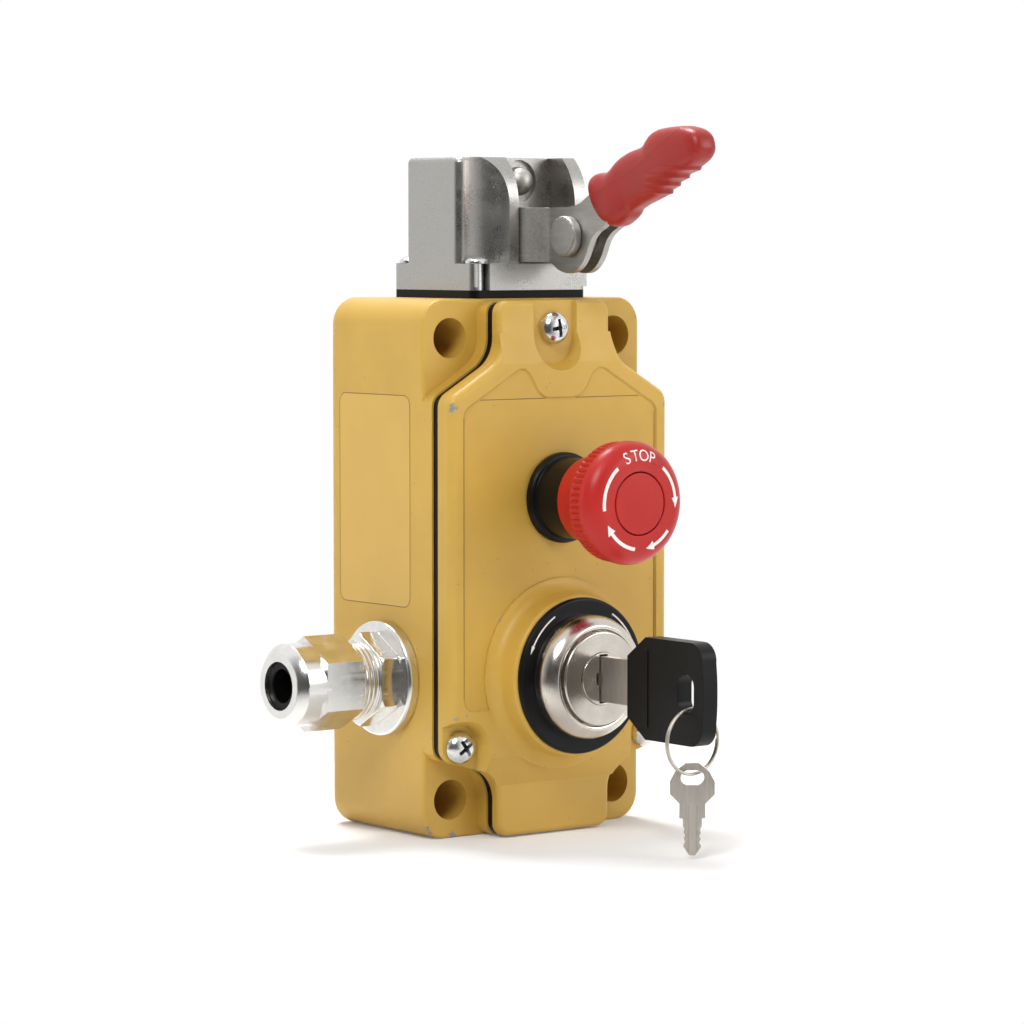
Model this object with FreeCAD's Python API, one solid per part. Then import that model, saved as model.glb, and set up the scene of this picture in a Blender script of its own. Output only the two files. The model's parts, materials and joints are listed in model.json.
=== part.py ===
"""Tongue interlock switch in a die-cast housing.

A flat tongue, carried by a hand lever, enters a metal head and holds a switch
rod down on a contact block.  A key lock and a mushroom stop button sit in the
front cover, and a cable gland closes the cable entry on the left.

Millimetres.  The origin is the centre of the four mounting holes on the back
plane; X points right, Y points into the wall behind, Z points up.
"""
import FreeCAD
import Part
import math
import os

V = FreeCAD.Vector
X_AXIS, Y_AXIS, Z_AXIS = V(1, 0, 0), V(0, 1, 0), V(0, 0, 1)

# ---- clearances -----------------------------------------------------------
RUNNING = 0.05              # radial play of a shaft in its own bore
SLIDING = 0.2               # play each side of a flat part that slides
SWING = 0.3                 # play between faces that pass each other
PITCH_GAP = 0.1             # play between a cam or ramp and what it moves

# ---- housing --------------------------------------------------------------
HOUSING_W = 82.0
HOUSING_H = 160.0
HOUSING_D = 48.0            # back plane to the four mounting lugs
HOUSING_CORNER_R = 11.0
HOUSING_BACK_R = 8.0
HOUSING_EDGE_R = 1.0
HOUSING_WALL = 5.5
RIM_H = 4.5                 # the cover's seat stands this far out of the lugs
CAVITY_TOP = 66.0           # solid metal above this carries the head
LUG_SPACING_X = 62.0
LUG_SPACING_Z = 137.0
LUG_HOLE_D = 6.5
LUG_SINK_D = 12.0
LUG_FLOOR = 8.0             # metal left under the sunk holes
LUG_SWEEP_R = 10.0          # the outline sweeps round each mounting hole

# ---- cover outline --------------------------------------------------------
NECK_END = 79.5             # height of the neck's end above the centre
NECK_CORNER_R = 4.0
SHOULDER_TOP = 30.0         # slope of the upper shoulders, degrees
SHOULDER_LOW = 16.0         # slope of the lower shoulders, degrees
SHOULDER_CORNER_R = 5.0

# ---- cover and gasket -----------------------------------------------------
GASKET_T = 3.0
GASKET_INSET = 0.6
GASKET_BAND = 4.5
NECK_T = 3.4                # cover thickness at the necks
PANEL_RISE = 3.2            # the panel stands this far in front of the necks
PANEL_TOP = 61.0
PANEL_LOW = -55.0
PANEL_RAMP = 9.0
COVER_EDGE_R = 2.4
NECK_EDGE_R = 1.6
COVER_SKIN = 3.2
NOTCH_HALF = 7.6
NOTCH_BOTTOM = 60.6
SEAT_LEFT = 2.0             # metal left under a cover screw's head
COVER_SCREW_D = 5.0
COVER_SCREW_HEAD_D = 9.8
COVER_SCREW_HEAD_H = 3.6
COVER_SCREW_L = 16.0
TOP_SCREW_Z = 71.3
EAR_SCREW_IN = 6.0          # ear screws, in from the housing's side
EAR_SCREW_Z = -51.6
EAR_SEAT_R = 6.2
SEAT_DRAFT = 1.9            # how much wider a screw pocket is in front
BOSS_R = 5.2                # round every screw hole in the cavity

# ---- stop button ----------------------------------------------------------
STOP_Z = 21.0
STOP_TRAVEL = 4.0
STOP_SHANK_D = 22.0
STOP_FLANGE_D = 27.0
STOP_FLANGE_T = 2.6
STOP_TUBE_D = 24.0
STOP_TUBE_L = 15.0          # collar's tube in front of the panel
STOP_BORE_D = 14.6
STOP_NUT_D = 29.0
STOP_NUT_T = 5.0
STOP_SHANK_L = 20.0
SKIRT_D = 26.2
SKIRT_WALL = 0.8
SKIRT_BACK = 76.0           # depth of the skirt's rear edge
HEAD_BACK = 87.0
HEAD_RIM_D = 36.2
HEAD_RIM_W = 7.6
HEAD_FRONT = 98.6
CAP_D = 18.0
CAP_GROOVE = 0.35
STEM_D = 11.0
STEM_TIP_D = 5.0
STOP_BLOCK_W = 26.0
STOP_BLOCK_H = 20.5
STOP_BLOCK_D = 24.0
STOP_BLOCK_DOWN = 0.8       # its middle, below the button's axis
LOCK_Z = -31.5

# ---- recess in the cover --------------------------------------------------
RECESS_DEPTH = 0.6          # shallow recess in the panel for the label
RECESS_IN = 4.4
RECESS_LOW = -41.0
RECESS_CORNER_R = 4.0
HUMP_X = 15.0
HUMP_Z = 59.6
HUMP_R = 4.0
HUMP_STEEPNESS = 1.6        # inner side of a hump against the shoulder's slope
DIP_Z = 51.0

# ---- key lock -------------------------------------------------------------
LOCK_BOSS_R = 24.6
LOCK_BOSS_FLARE = 4.0
LOCK_BOSS_FRONT = 70.6
LOCK_BOSS_POCKET_R = 18.5
LOCK_BOSS_SKIN = 4.2
LOCK_RING_D = 46.5
LOCK_RING_T = 1.6
BEZEL_D = 37.0
BEZEL_H = 8.0
BEZEL_LIP_D = 28.8
BARREL_D = 22.0
BARREL_END = 50.0
FACE_D = 27.7
FACE_FRONT = 81.5
FACE_T = 5.0
CORE_D = 15.6
CORE_FRONT = 82.0
KEYWAY_W = 3.0
KEYWAY_H = 14.4
KEYWAY_DEPTH = 21.0
LOCK_NUT_D = 30.0
LOCK_NUT_T = 5.0
CAM_T = 3.8
CAM_MIN_R = 8.0
CAM_LIFT = 3.0              # rise over a quarter turn
FOLLOWER_D = 3.6
SIDE_BLOCK_W = 16.5
SIDE_BLOCK_D = 13.0
SIDE_BLOCK_H = 21.5
SIDE_BLOCK_DOWN = 0.75      # its middle, below the lock's axis
SIDE_BLOCK_GAP = 2.0        # between that block and the housing's wall
SIDE_SCREW_SPACING = 13.5

# ---- key, ring and spare key ----------------------------------------------
KEY_T = 2.4
KEY_H = 13.4
KEY_TIP = 64.0
KEY_TANG = 8.0
KEY_NICK_R = 1.4
BOW_BACK = 94.0
BOW_L = 38.0
BOW_H = 29.6
BOW_T = 5.4
BOW_Z = LOCK_Z - 0.7
BOW_HOLE_Y = 122.5
BOW_HOLE_W = 7.2
BOW_HOLE_H = 11.4
RING_R = 9.5                # centre line
RING_WIRE_D = 1.6
RING_PLAY = 0.65
SPARE_T = 1.8
SPARE_BOW_W = 14.0
SPARE_BOW_H = 12.6
SPARE_HOLE_W = 8.0
SPARE_HOLE_H = 5.2
SPARE_PLAY = 0.45
SPARE_L = 27.0
SPARE_YAW = 37.0            # degrees that the hanging key is turned

# ---- cable gland ----------------------------------------------------------
GLAND_Y = -29.0
GLAND_Z = -33.0
GLAND_THREAD_D = 20.0
GLAND_WASHER_D = 34.6
GLAND_WASHER_T = 3.5
GLAND_HEX_AF = 24.5
GLAND_HEX_T = 6.5
GLAND_NECK_D = 23.0
GLAND_NECK_GAP = 6.0        # thread left showing between the two hexagons
GLAND_NUT_AF = 24.6
GLAND_NUT_L = 22.5
GLAND_NUT_HEX_L = 13.5
GLAND_MOUTH_D = 14.4
GLAND_SEAL_D = 10.0
GLAND_BODY_BORE = 14.0
LOCKNUT_AF = 24.0
LOCKNUT_T = 4.5

# ---- head -----------------------------------------------------------------
HEAD_GASKET_T = 2.4
FLANGE_W = 43.0
FLANGE_FRONT = 47.0
FLANGE_REAR = 6.5
FLANGE_T = 7.9
FLANGE_R = 2.5
BLOCK_FRONT = 39.7
BLOCK_REAR = 8.0
BLOCK_TOP = 122.0
BLOCK_R = 2.6
BLOCK_TOP_R = 1.8
CHEEK_LEFT = -8.0
SLOT_LEFT = -4.5
SLOT_RIGHT = 16.9
SLOT_DEPTH = 12.8           # from the flange's front edge
CHEEK_ROUND = 18.6          # round of the cheeks' top front corner
CHEEK_ROUND_DOWN = 14.0     # its middle, below the head's top
HEAD_SCREW_D = 4.0
HEAD_SCREW_HEAD_D = 7.2
HEAD_SCREW_HEAD_H = 2.4
HEAD_SCREW_X = 17.6
HEAD_SCREW_FRONT = 43.5
HEAD_SCREW_REAR = 10.6
HEAD_SCREW_DEPTH = 9.0      # thread in the housing
SUNK_SCREW_X = 11.6
SUNK_SCREW_Y = 41.2
REAR_POCKET_W = 8.0
POCKET_PLAY = 0.3
SCOOP_R = 12.0              # hollow between the head's corner and its left cheek
SCOOP_LIP = 0.8

# ---- tongue, rod and contact block ----------------------------------------
TONGUE_X = 6.2              # middle plane of the slot, tongue and lever
TONGUE_T = 3.6
TONGUE_H = 12.0
TONGUE_Z = 98.5
TONGUE_TRAVEL = 16.0
TONGUE_END = 11.5
RAMP_RATIO = 5.0            # tongue travel per unit of rod travel
ROD_Y = -29.0
ROD_D = 5.0
ROD_NOSE_D = 3.4
ROD_SHOULDER = 4.0          # shoulder below the tongue slot's floor
ROD_COLLAR_D = 9.4
ROD_COLLAR_T = 2.0
ROD_COLLAR_Z = 62.4
BUSH_D = 9.0
BUSH_L = 5.0
BLOCK_W = 26.0
BLOCK_D = 21.0
BLOCK_H = 22.0
BLOCK_Z = 32.0
CONTACT_PIN_D = 4.0
PILLAR_D = 7.0
BLOCK_SCREW_D = 3.0
BLOCK_SCREW_HEAD_D = 5.5
MAIN_SCREW_L = 30.0
SIDE_SCREW_L = 22.0
TERMINAL_D = 4.4
TERMINAL_HOLE_D = 5.0
EARTH_SCREW_D = 4.0
EARTH_SCREW_L = 3.5
EARTH_X = -22.0
EARTH_Z = 30.0

# ---- lever ----------------------------------------------------------------
PIVOT_Y = -63.0
PIVOT_Z = 98.4
RIVET_D = 7.0
RIVET_HEAD_D = 12.0
RIVET_HEAD_H = 3.0
RIVET_WIDTH = 8.4           # between the two rivet heads
PLATE_T = 2.0
LOBE_R = 11.0
TAIL_END = 36.0
TAIL_LOW = 90.8
TAIL_TOP = 107.0
ARM_W = 10.0
ARM_RISE = 19.4             # degrees
ARM_AT = (-73.0, 109.0)     # a point on the arm's middle line, Y and Z
ARM_L = 26.0
GRIP_START = (-67.5, 108.7)
GRIP_RISE = 18.0
GRIP_STATIONS = (           # along the grip: middle, half height, half width
    (0.6, 1.5, 3.6, 4.0), (3.0, 0.0, 6.0, 5.4), (8.0, -1.6, 8.2, 6.1),
    (14.0, -3.0, 9.0, 6.2), (20.0, -2.4, 9.6, 5.9), (26.0, -0.7, 8.4, 5.7),
    (32.0, -0.6, 8.0, 5.8), (38.0, 0.3, 9.0, 6.1), (44.0, 0.6, 7.8, 6.0),
    (50.0, 0.2, 6.3, 5.5), (55.0, -1.0, 4.3, 4.2), (57.4, -1.8, 1.8, 2.0))

# ---- sprung detent in the head --------------------------------------------
DETENT_X = 5.6
DETENT_DOWN = 7.0           # below the top of the head
DETENT_D = 8.6
DETENT_RING_D = 12.8
DETENT_RING_DEPTH = 1.4
DETENT_OUT = 4.0            # how far the nose stands out of the slot's wall
DETENT_L = 12.0
DETENT_BORE_L = 19.0
DETENT_SPRING_D = 6.6

# ---- derived --------------------------------------------------------------
HALF_W = HOUSING_W / 2
HALF_H = HOUSING_H / 2
LUG_X = LUG_SPACING_X / 2
LUG_Z = LUG_SPACING_Z / 2
RIM_Y = -(HOUSING_D + RIM_H)
COVER_BACK = RIM_Y - GASKET_T
NECK_Y = COVER_BACK - NECK_T
PANEL_Y = NECK_Y - PANEL_RISE
SEAT_Y = COVER_BACK - SEAT_LEFT
FLANGE_Z = HALF_H + HEAD_GASKET_T
FLOOR_Z = FLANGE_Z + FLANGE_T
SLOT_Y = -FLANGE_FRONT + SLOT_DEPTH
TONGUE_LOW = TONGUE_Z - TONGUE_H / 2
TONGUE_SLOT_LOW = TONGUE_LOW - SWING
ROD_TRAVEL = TONGUE_TRAVEL / RAMP_RATIO
EAR_SCREW_X = HALF_W - EAR_SCREW_IN
COVER_SCREWS = ((0, TOP_SCREW_Z), (-EAR_SCREW_X, EAR_SCREW_Z), (EAR_SCREW_X, EAR_SCREW_Z))
LUGS = [(sx * LUG_X, sz * LUG_Z) for sx in (-1, 1) for sz in (-1, 1)]
CAM_PER_DEGREE = CAM_LIFT / 90
CAM_Y = -BARREL_END + SLIDING
SIDE_BLOCK_END = HALF_W - HOUSING_WALL - SIDE_BLOCK_GAP
SIDE_BLOCK_X = SIDE_BLOCK_END - SIDE_BLOCK_W
DETENT_Z = BLOCK_TOP - DETENT_DOWN
RING_TOP = BOW_Z - BOW_HOLE_H / 2 + RING_PLAY + RING_WIRE_D / 2
RING_Z = RING_TOP - RING_R
SPARE_HOLE_Z = RING_Z - RING_R + RING_WIRE_D / 2 + SPARE_PLAY - SPARE_HOLE_H / 2


# ---- shared forms ---------------------------------------------------------
def box(x0, x1, y0, y1, z0, z1):
    return Part.makeBox(x1 - x0, y1 - y0, z1 - z0, V(x0, y0, z0))


def rod(diameter, start, end):
    """A round bar from one point to another."""
    run = end.sub(start)
    return Part.makeCylinder(diameter / 2, run.Length, start, run)


def rod_y(diameter, x, z, y0, y1):
    return rod(diameter, V(x, y0, z), V(x, y1, z))


def rod_z(diameter, x, y, z0, z1):
    return rod(diameter, V(x, y, z0), V(x, y, z1))


def placed(shape, origin, direction):
    """Carry a shape made about +Z to an origin and a direction."""
    turn = FreeCAD.Rotation(Z_AXIS, direction)
    shape.Placement = FreeCAD.Placement(origin, turn)
    return shape


def turned(profile, origin, direction):
    """Revolve a closed (radius, height) profile; three-number points end an arc.

    A point given as (mid_radius, mid_height, radius, height) is reached by an
    arc through its middle point.
    """
    edges = []
    here = V(profile[0][0], 0, profile[0][1])
    for step in profile[1:] + profile[:1]:
        there = V(step[-2], 0, step[-1])
        if len(step) == 4:
            mid = V(step[0], 0, step[1])
            edges.append(Part.Arc(here, mid, there).toShape())
        elif there.sub(here).Length > 1e-6:
            edges.append(Part.LineSegment(here, there).toShape())
        here = there
    solid = Part.Face(Part.Wire(edges)).revolve(V(0, 0, 0), Z_AXIS, 360)
    return placed(solid, origin, direction)


def dome(radius, height, top):
    """Profile step over a spherical dome, from (radius, height) to the axis."""
    rise = top - height
    ball = (radius ** 2 + rise ** 2) / (2 * rise)
    half_angle = math.asin(min(radius / ball, 1)) / 2
    return (ball * math.sin(half_angle), top - ball + ball * math.cos(half_angle), 0, top)


def hex_bar(across_flats, length, origin, direction, spin=0):
    radius = across_flats / math.sqrt(3)
    corners = [V(radius * math.cos(a), radius * math.sin(a), 0)
               for a in (math.radians(60 * i + spin) for i in range(7))]
    return placed(Part.Face(Part.makePolygon(corners)).extrude(V(0, 0, length)), origin, direction)


def rounded(shape, radius, wanted):
    """Fillet the edges that the test picks."""
    return shape.makeFillet(radius, [e for e in shape.Edges if wanted(e)])


def along(axis):
    """Test for straight edges that run along one axis."""
    def wanted(edge):
        ends = edge.Vertexes
        if len(ends) != 2:
            return False
        run = ends[1].Point.sub(ends[0].Point)
        return run.Length > 1e-6 and abs(abs(run.normalize().dot(axis)) - 1) < 1e-6
    return wanted


def in_plane(axis, place):
    """Test for edges that lie in a plane square to one axis."""
    def wanted(edge):
        low, high = edge.BoundBox.getPoint(0), edge.BoundBox.getPoint(6)
        return abs(low.dot(axis) - place) < 1e-4 and abs(high.dot(axis) - place) < 1e-4
    return wanted


def coil(mean_d, wire, length, turns, origin, direction):
    """A coil spring of square wire that fills a length."""
    rise = length - wire
    helix = Part.makeHelix(rise / turns, rise, mean_d / 2)
    half = wire / 2
    corners = [V(mean_d / 2 + i * half, 0, k * half)
               for i, k in ((-1, -1), (1, -1), (1, 1), (-1, 1), (-1, -1))]
    spring = Part.Wire(helix).makePipeShell([Part.makePolygon(corners)], True, True)
    return placed(spring.Solids[0], origin + direction * half, direction)


def pan_screw(head_d, head_h, shank_d, length, seat, direction):
    """Pan-head screw; the direction points out of the head."""
    r = head_d / 2
    profile = [(0, -length), (shank_d / 2, -length), (shank_d / 2, 0), (r, 0), (r, head_h * 0.35),
               dome(r, head_h * 0.35, head_h)]
    return turned(profile, seat, direction)


# ---- the cover's outline --------------------------------------------------
def quarter_outline(side, end, shoulder, inset):
    """Edges of one quarter, from the neck's end round to the panel's side."""
    hx, hz = LUG_X, LUG_Z
    sweep = LUG_SWEEP_R + inset
    neck = hx - sweep
    top = NECK_END - inset
    corner = max(NECK_CORNER_R - inset, 0.6)
    bend = max(SHOULDER_CORNER_R - inset, 0.6)
    turn = math.radians(90 - shoulder)

    def at(x, z):
        return V(side * x, 0, end * z)

    def on_sweep(angle):
        return at(hx - sweep * math.cos(angle), hz - sweep * math.sin(angle))

    sweep_end_x = hx - sweep * math.cos(turn)
    sweep_end_z = hz - sweep * math.sin(turn)
    reach = (HALF_W - inset - sweep_end_x) / math.sin(turn)
    corner_z = sweep_end_z - reach * math.cos(turn)
    short = bend * math.tan(turn / 2)
    centre_x, centre_z = HALF_W - inset - bend, corner_z - short
    diagonal = corner * math.sqrt(0.5)

    def on_bend(angle):
        return at(centre_x + bend * math.cos(angle), centre_z + bend * math.sin(angle))

    return [
        Part.LineSegment(at(0, top), at(neck - corner, top)),
        Part.Arc(at(neck - corner, top),
                 at(neck - corner + diagonal, top - corner + diagonal), at(neck, top - corner)),
        Part.LineSegment(at(neck, top - corner), on_sweep(0)),
        Part.Arc(on_sweep(0), on_sweep(turn / 2), on_sweep(turn)),
        Part.LineSegment(on_sweep(turn), on_bend(turn)),
        Part.Arc(on_bend(turn), on_bend(turn / 2), on_bend(0)),
        Part.LineSegment(on_bend(0), at(HALF_W - inset, 0)),
    ]


def outline_bar(inset, y0, y1):
    """A bar with the cover's outline, moved in by the inset, from y0 to y1."""
    edges = []
    for side in (-1, 1):
        for end, shoulder in ((1, SHOULDER_TOP), (-1, SHOULDER_LOW)):
            edges += [e.toShape() for e in quarter_outline(side, end, shoulder, inset)]
    face = Part.Face(Part.Wire(Part.__sortEdges__(edges)))
    bar = face.extrude(V(0, y1 - y0, 0))
    bar.translate(V(0, y0, 0))
    return bar


# ---- housing --------------------------------------------------------------
def base_housing():
    body = box(-HALF_W, HALF_W, -HOUSING_D, 0, -HALF_H, HALF_H)
    body = rounded(body, HOUSING_CORNER_R, along(Y_AXIS))
    body = rounded(body, HOUSING_BACK_R, in_plane(Y_AXIS, 0))
    body = rounded(body, HOUSING_EDGE_R, in_plane(Y_AXIS, -HOUSING_D))
    body = body.fuse(outline_bar(0, RIM_Y, -HOUSING_D + 2 * HOUSING_EDGE_R))
    cavity = outline_bar(HOUSING_WALL, RIM_Y, -HOUSING_WALL)
    cavity = cavity.cut(box(-HALF_W, HALF_W, RIM_Y, 0, CAVITY_TOP, HALF_H))
    pillars = [rod_y(2 * BOSS_R, x, z, RIM_Y, -HOUSING_WALL) for x, z in COVER_SCREWS[1:]]
    pillars += [rod_y(PILLAR_D, x, z, ROD_Y + BLOCK_D / 2, -HOUSING_WALL) for x, z in main_block_screws()]
    pillars += [rod_y(PILLAR_D, x, z, side_block_rear(), -HOUSING_WALL) for x, z in side_block_screws()]
    body = body.cut(cavity.cut(Part.makeCompound(pillars)))
    holes = [rod_y(COVER_SCREW_D, x, z, RIM_Y, SEAT_Y + COVER_SCREW_L + 1) for x, z in COVER_SCREWS]
    holes += [rod_y(LUG_HOLE_D, x, z, -HOUSING_D, 0) for x, z in LUGS]
    holes += [rod_y(LUG_SINK_D, x, z, -HOUSING_D, -LUG_FLOOR) for x, z in LUGS]
    thread_end = HALF_H - HEAD_SCREW_DEPTH - 1
    holes += [rod_z(HEAD_SCREW_D, x, y, thread_end, HALF_H) for x, y in head_screw_places()]
    holes += [rod_y(BLOCK_SCREW_D, x, z, -HOUSING_D, -HOUSING_WALL - 2) for x, z in main_block_screws()]
    holes += [rod_y(BLOCK_SCREW_D, x, z, -HOUSING_D, -HOUSING_WALL - 2) for x, z in side_block_screws()]
    holes.append(rod_y(EARTH_SCREW_D, EARTH_X, EARTH_Z, -HOUSING_WALL, EARTH_SCREW_L - HOUSING_WALL))
    inside = 2 * HOUSING_WALL - HALF_W
    holes.append(rod(GLAND_THREAD_D, V(-HALF_W, GLAND_Y, GLAND_Z), V(inside, GLAND_Y, GLAND_Z)))
    holes.append(rod_z(ROD_D + 4 * RUNNING, TONGUE_X, ROD_Y, CAVITY_TOP - 1, HALF_H))
    holes.append(rod_z(ROD_COLLAR_D + 1, TONGUE_X, ROD_Y, CAVITY_TOP - 1, rod_pocket_top()))
    return body.cut(Part.makeCompound(holes)).removeSplitter()


def rod_pocket_top():
    return ROD_COLLAR_Z + ROD_COLLAR_T + ROD_TRAVEL + 1


def main_block_screws():
    reach = BLOCK_W / 2 - PILLAR_D / 2
    return [(TONGUE_X + s * reach, BLOCK_Z + BLOCK_H / 2 + s * (BLOCK_H / 2 - PILLAR_D / 2)) for s in (-1, 1)]


def cover_gasket():
    band = outline_bar(GASKET_INSET, COVER_BACK, RIM_Y)
    window = outline_bar(GASKET_INSET + GASKET_BAND, COVER_BACK, RIM_Y)
    window = window.cut(box(-HALF_W, HALF_W, COVER_BACK, RIM_Y, CAVITY_TOP, HALF_H))
    ears = [rod_y(2 * BOSS_R, x, z, COVER_BACK, RIM_Y) for x, z in COVER_SCREWS[1:]]
    window = window.cut(Part.makeCompound(ears))
    holes = [rod_y(COVER_SCREW_D + 0.4, x, z, COVER_BACK, RIM_Y) for x, z in COVER_SCREWS]
    return band.cut(window).cut(Part.makeCompound(holes))


def panel_side_profile():
    """Side view of the cover's thick panel, which runs down to both necks."""
    back, low, high = NECK_Y + 1, PANEL_LOW - PANEL_RAMP, PANEL_TOP + PANEL_RAMP
    points = [(back, low), (NECK_Y, low), (PANEL_Y, PANEL_LOW), (PANEL_Y, PANEL_TOP), (NECK_Y, high),
              (back, high), (back, low)]
    wire = Part.makePolygon([V(-HALF_W, y, z) for y, z in points])
    return Part.Face(wire).extrude(V(HOUSING_W, 0, 0))


def lock_boss():
    """Round boss with a flared foot that carries the key lock."""
    foot, flare = LOCK_BOSS_R + LOCK_BOSS_FLARE, LOCK_BOSS_FLARE
    depth = -PANEL_Y - 3
    profile = [(0, depth), (foot, depth), (foot, -PANEL_Y),
               (LOCK_BOSS_R + flare * 0.29, -PANEL_Y + flare * 0.29, LOCK_BOSS_R, -PANEL_Y + flare),
               (LOCK_BOSS_R - 0.4, LOCK_BOSS_FRONT - 1.2),
               (LOCK_BOSS_R - 0.75, LOCK_BOSS_FRONT - 0.35, LOCK_BOSS_R - 1.6, LOCK_BOSS_FRONT),
               (0, LOCK_BOSS_FRONT)]
    return turned(profile, V(0, 0, LOCK_Z), -Y_AXIS)


def sloped_pocket(x, z, radius, runs):
    """Pocket round a cover screw, wider in front, that runs out to the cover's edge."""
    wide = radius + SEAT_DRAFT
    depth = SEAT_Y - PANEL_Y
    pocket = Part.makeCone(wide, radius, depth, V(x, PANEL_Y, z), Y_AXIS)
    for run in runs:
        across = run.cross(Y_AXIS)
        corners = [V(x, PANEL_Y, z) + across * wide, V(x, SEAT_Y, z) + across * radius,
                   V(x, SEAT_Y, z) - across * radius, V(x, PANEL_Y, z) - across * wide]
        face = Part.Face(Part.makePolygon(corners + corners[:1]))
        pocket = pocket.fuse(face.extrude(run * HOUSING_W))
    return pocket


def recess_outline(side):
    """Edges of one half of the recess, from the middle of its top to that of its bottom."""
    slope = math.radians(SHOULDER_TOP)
    steep = HUMP_STEEPNESS * slope
    edge, corner = HALF_W - RECESS_IN, RECESS_CORNER_R
    hump_z = HUMP_Z - HUMP_R
    across, up = math.sin(slope), math.cos(slope)
    corner_z = (HUMP_X * across + hump_z * up + HUMP_R - corner - (edge - corner) * across) / up

    def at(x, z):
        return V(side * x, PANEL_Y, z)

    def on_hump(angle):
        return at(HUMP_X + HUMP_R * math.sin(angle), hump_z + HUMP_R * math.cos(angle))

    def on_corner(angle):
        return at(edge - corner + corner * math.sin(angle), corner_z + corner * math.cos(angle))

    def on_foot(angle):
        return at(edge - corner + corner * math.cos(angle), RECESS_LOW + corner - corner * math.sin(angle))

    foot = on_hump(-steep)
    dip = at(abs(foot.x) - 2 * HUMP_R, DIP_Z)
    rise = Part.BSplineCurve()
    rise.interpolate(Points=[dip, foot], InitialTangent=V(side, 0, 0) * 3 * HUMP_R,
                     FinalTangent=V(side * math.cos(steep), 0, math.sin(steep)) * 3 * HUMP_R)
    quarter = math.pi / 2
    curves = [Part.LineSegment(at(0, DIP_Z), dip), rise,
              Part.Arc(foot, on_hump(0), on_hump(slope)),
              Part.LineSegment(on_hump(slope), on_corner(slope)),
              Part.Arc(on_corner(slope), on_corner((slope + quarter) / 2), on_corner(quarter)),
              Part.LineSegment(on_corner(quarter), on_foot(0)),
              Part.Arc(on_foot(0), on_foot(quarter / 2), on_foot(quarter)),
              Part.LineSegment(on_foot(quarter), at(0, RECESS_LOW))]
    return [curve.toShape() for curve in curves]


def label_recess():
    """Shallow recess of the panel; its top has two humps beside the screw's notch."""
    edges = recess_outline(1) + recess_outline(-1)
    face = Part.Face(Part.Wire(Part.__sortEdges__(edges)))
    tool = face.extrude(V(0, RECESS_DEPTH, 0))
    on_floor = in_plane(Y_AXIS, PANEL_Y + RECESS_DEPTH)
    return tool.makeChamfer(RECESS_DEPTH * 0.9, [e for e in tool.Edges if on_floor(e)])


def front_cover():
    plate = rounded(outline_bar(0, NECK_Y, COVER_BACK), NECK_EDGE_R, in_plane(Y_AXIS, NECK_Y))
    panel = rounded(outline_bar(0, PANEL_Y, COVER_BACK), COVER_EDGE_R, in_plane(Y_AXIS, PANEL_Y))
    panel = panel.common(panel_side_profile()).cut(label_recess())
    body = plate.fuse([panel, lock_boss()])
    cuts = [sloped_pocket(0, NOTCH_BOTTOM + NOTCH_HALF, NOTCH_HALF, [Z_AXIS])]
    for side in (-1, 1):
        cuts.append(sloped_pocket(side * EAR_SCREW_X, EAR_SCREW_Z, EAR_SEAT_R, [X_AXIS * side, -Z_AXIS]))
    keep = max(abs(EAR_SCREW_Z) - BOSS_R - 2, 0)
    inside = outline_bar(2 * GASKET_BAND, NECK_Y, COVER_BACK).common(
        box(-HALF_W, HALF_W, PANEL_Y + COVER_SKIN, COVER_BACK, -keep, PANEL_TOP - 4))
    cuts.append(inside)
    cuts.append(rod_y(2 * LOCK_BOSS_POCKET_R, 0, LOCK_Z, -LOCK_BOSS_FRONT + LOCK_BOSS_SKIN, COVER_BACK))
    cuts.append(rod_y(STOP_SHANK_D + 0.4, 0, STOP_Z, PANEL_Y, COVER_BACK))
    cuts.append(rod_y(BARREL_D + 0.4, 0, LOCK_Z, -LOCK_BOSS_FRONT, COVER_BACK))
    cuts += [rod_y(COVER_SCREW_D + 0.4, x, z, PANEL_Y, COVER_BACK) for x, z in COVER_SCREWS]
    return body.cut(Part.makeCompound(cuts)).removeSplitter()


def cover_screws():
    return Part.makeCompound([
        pan_screw(COVER_SCREW_HEAD_D, COVER_SCREW_HEAD_H, COVER_SCREW_D, COVER_SCREW_L,
                  V(x, SEAT_Y, z), -Y_AXIS) for x, z in COVER_SCREWS])


# ---- stop button ----------------------------------------------------------
def estop_collar():
    front = -PANEL_Y
    tube, flange, shank, bore = (d / 2 for d in (STOP_TUBE_D, STOP_FLANGE_D, STOP_SHANK_D, STOP_BORE_D))
    profile = [(bore, front - STOP_SHANK_L), (shank, front - STOP_SHANK_L), (shank, front), (flange, front),
               (flange, front + STOP_FLANGE_T - 0.8), (flange - 0.8, front + STOP_FLANGE_T),
               (tube, front + STOP_FLANGE_T), (tube, front + STOP_TUBE_L), (bore, front + STOP_TUBE_L)]
    return turned(profile, V(0, 0, STOP_Z), -Y_AXIS)


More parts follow.
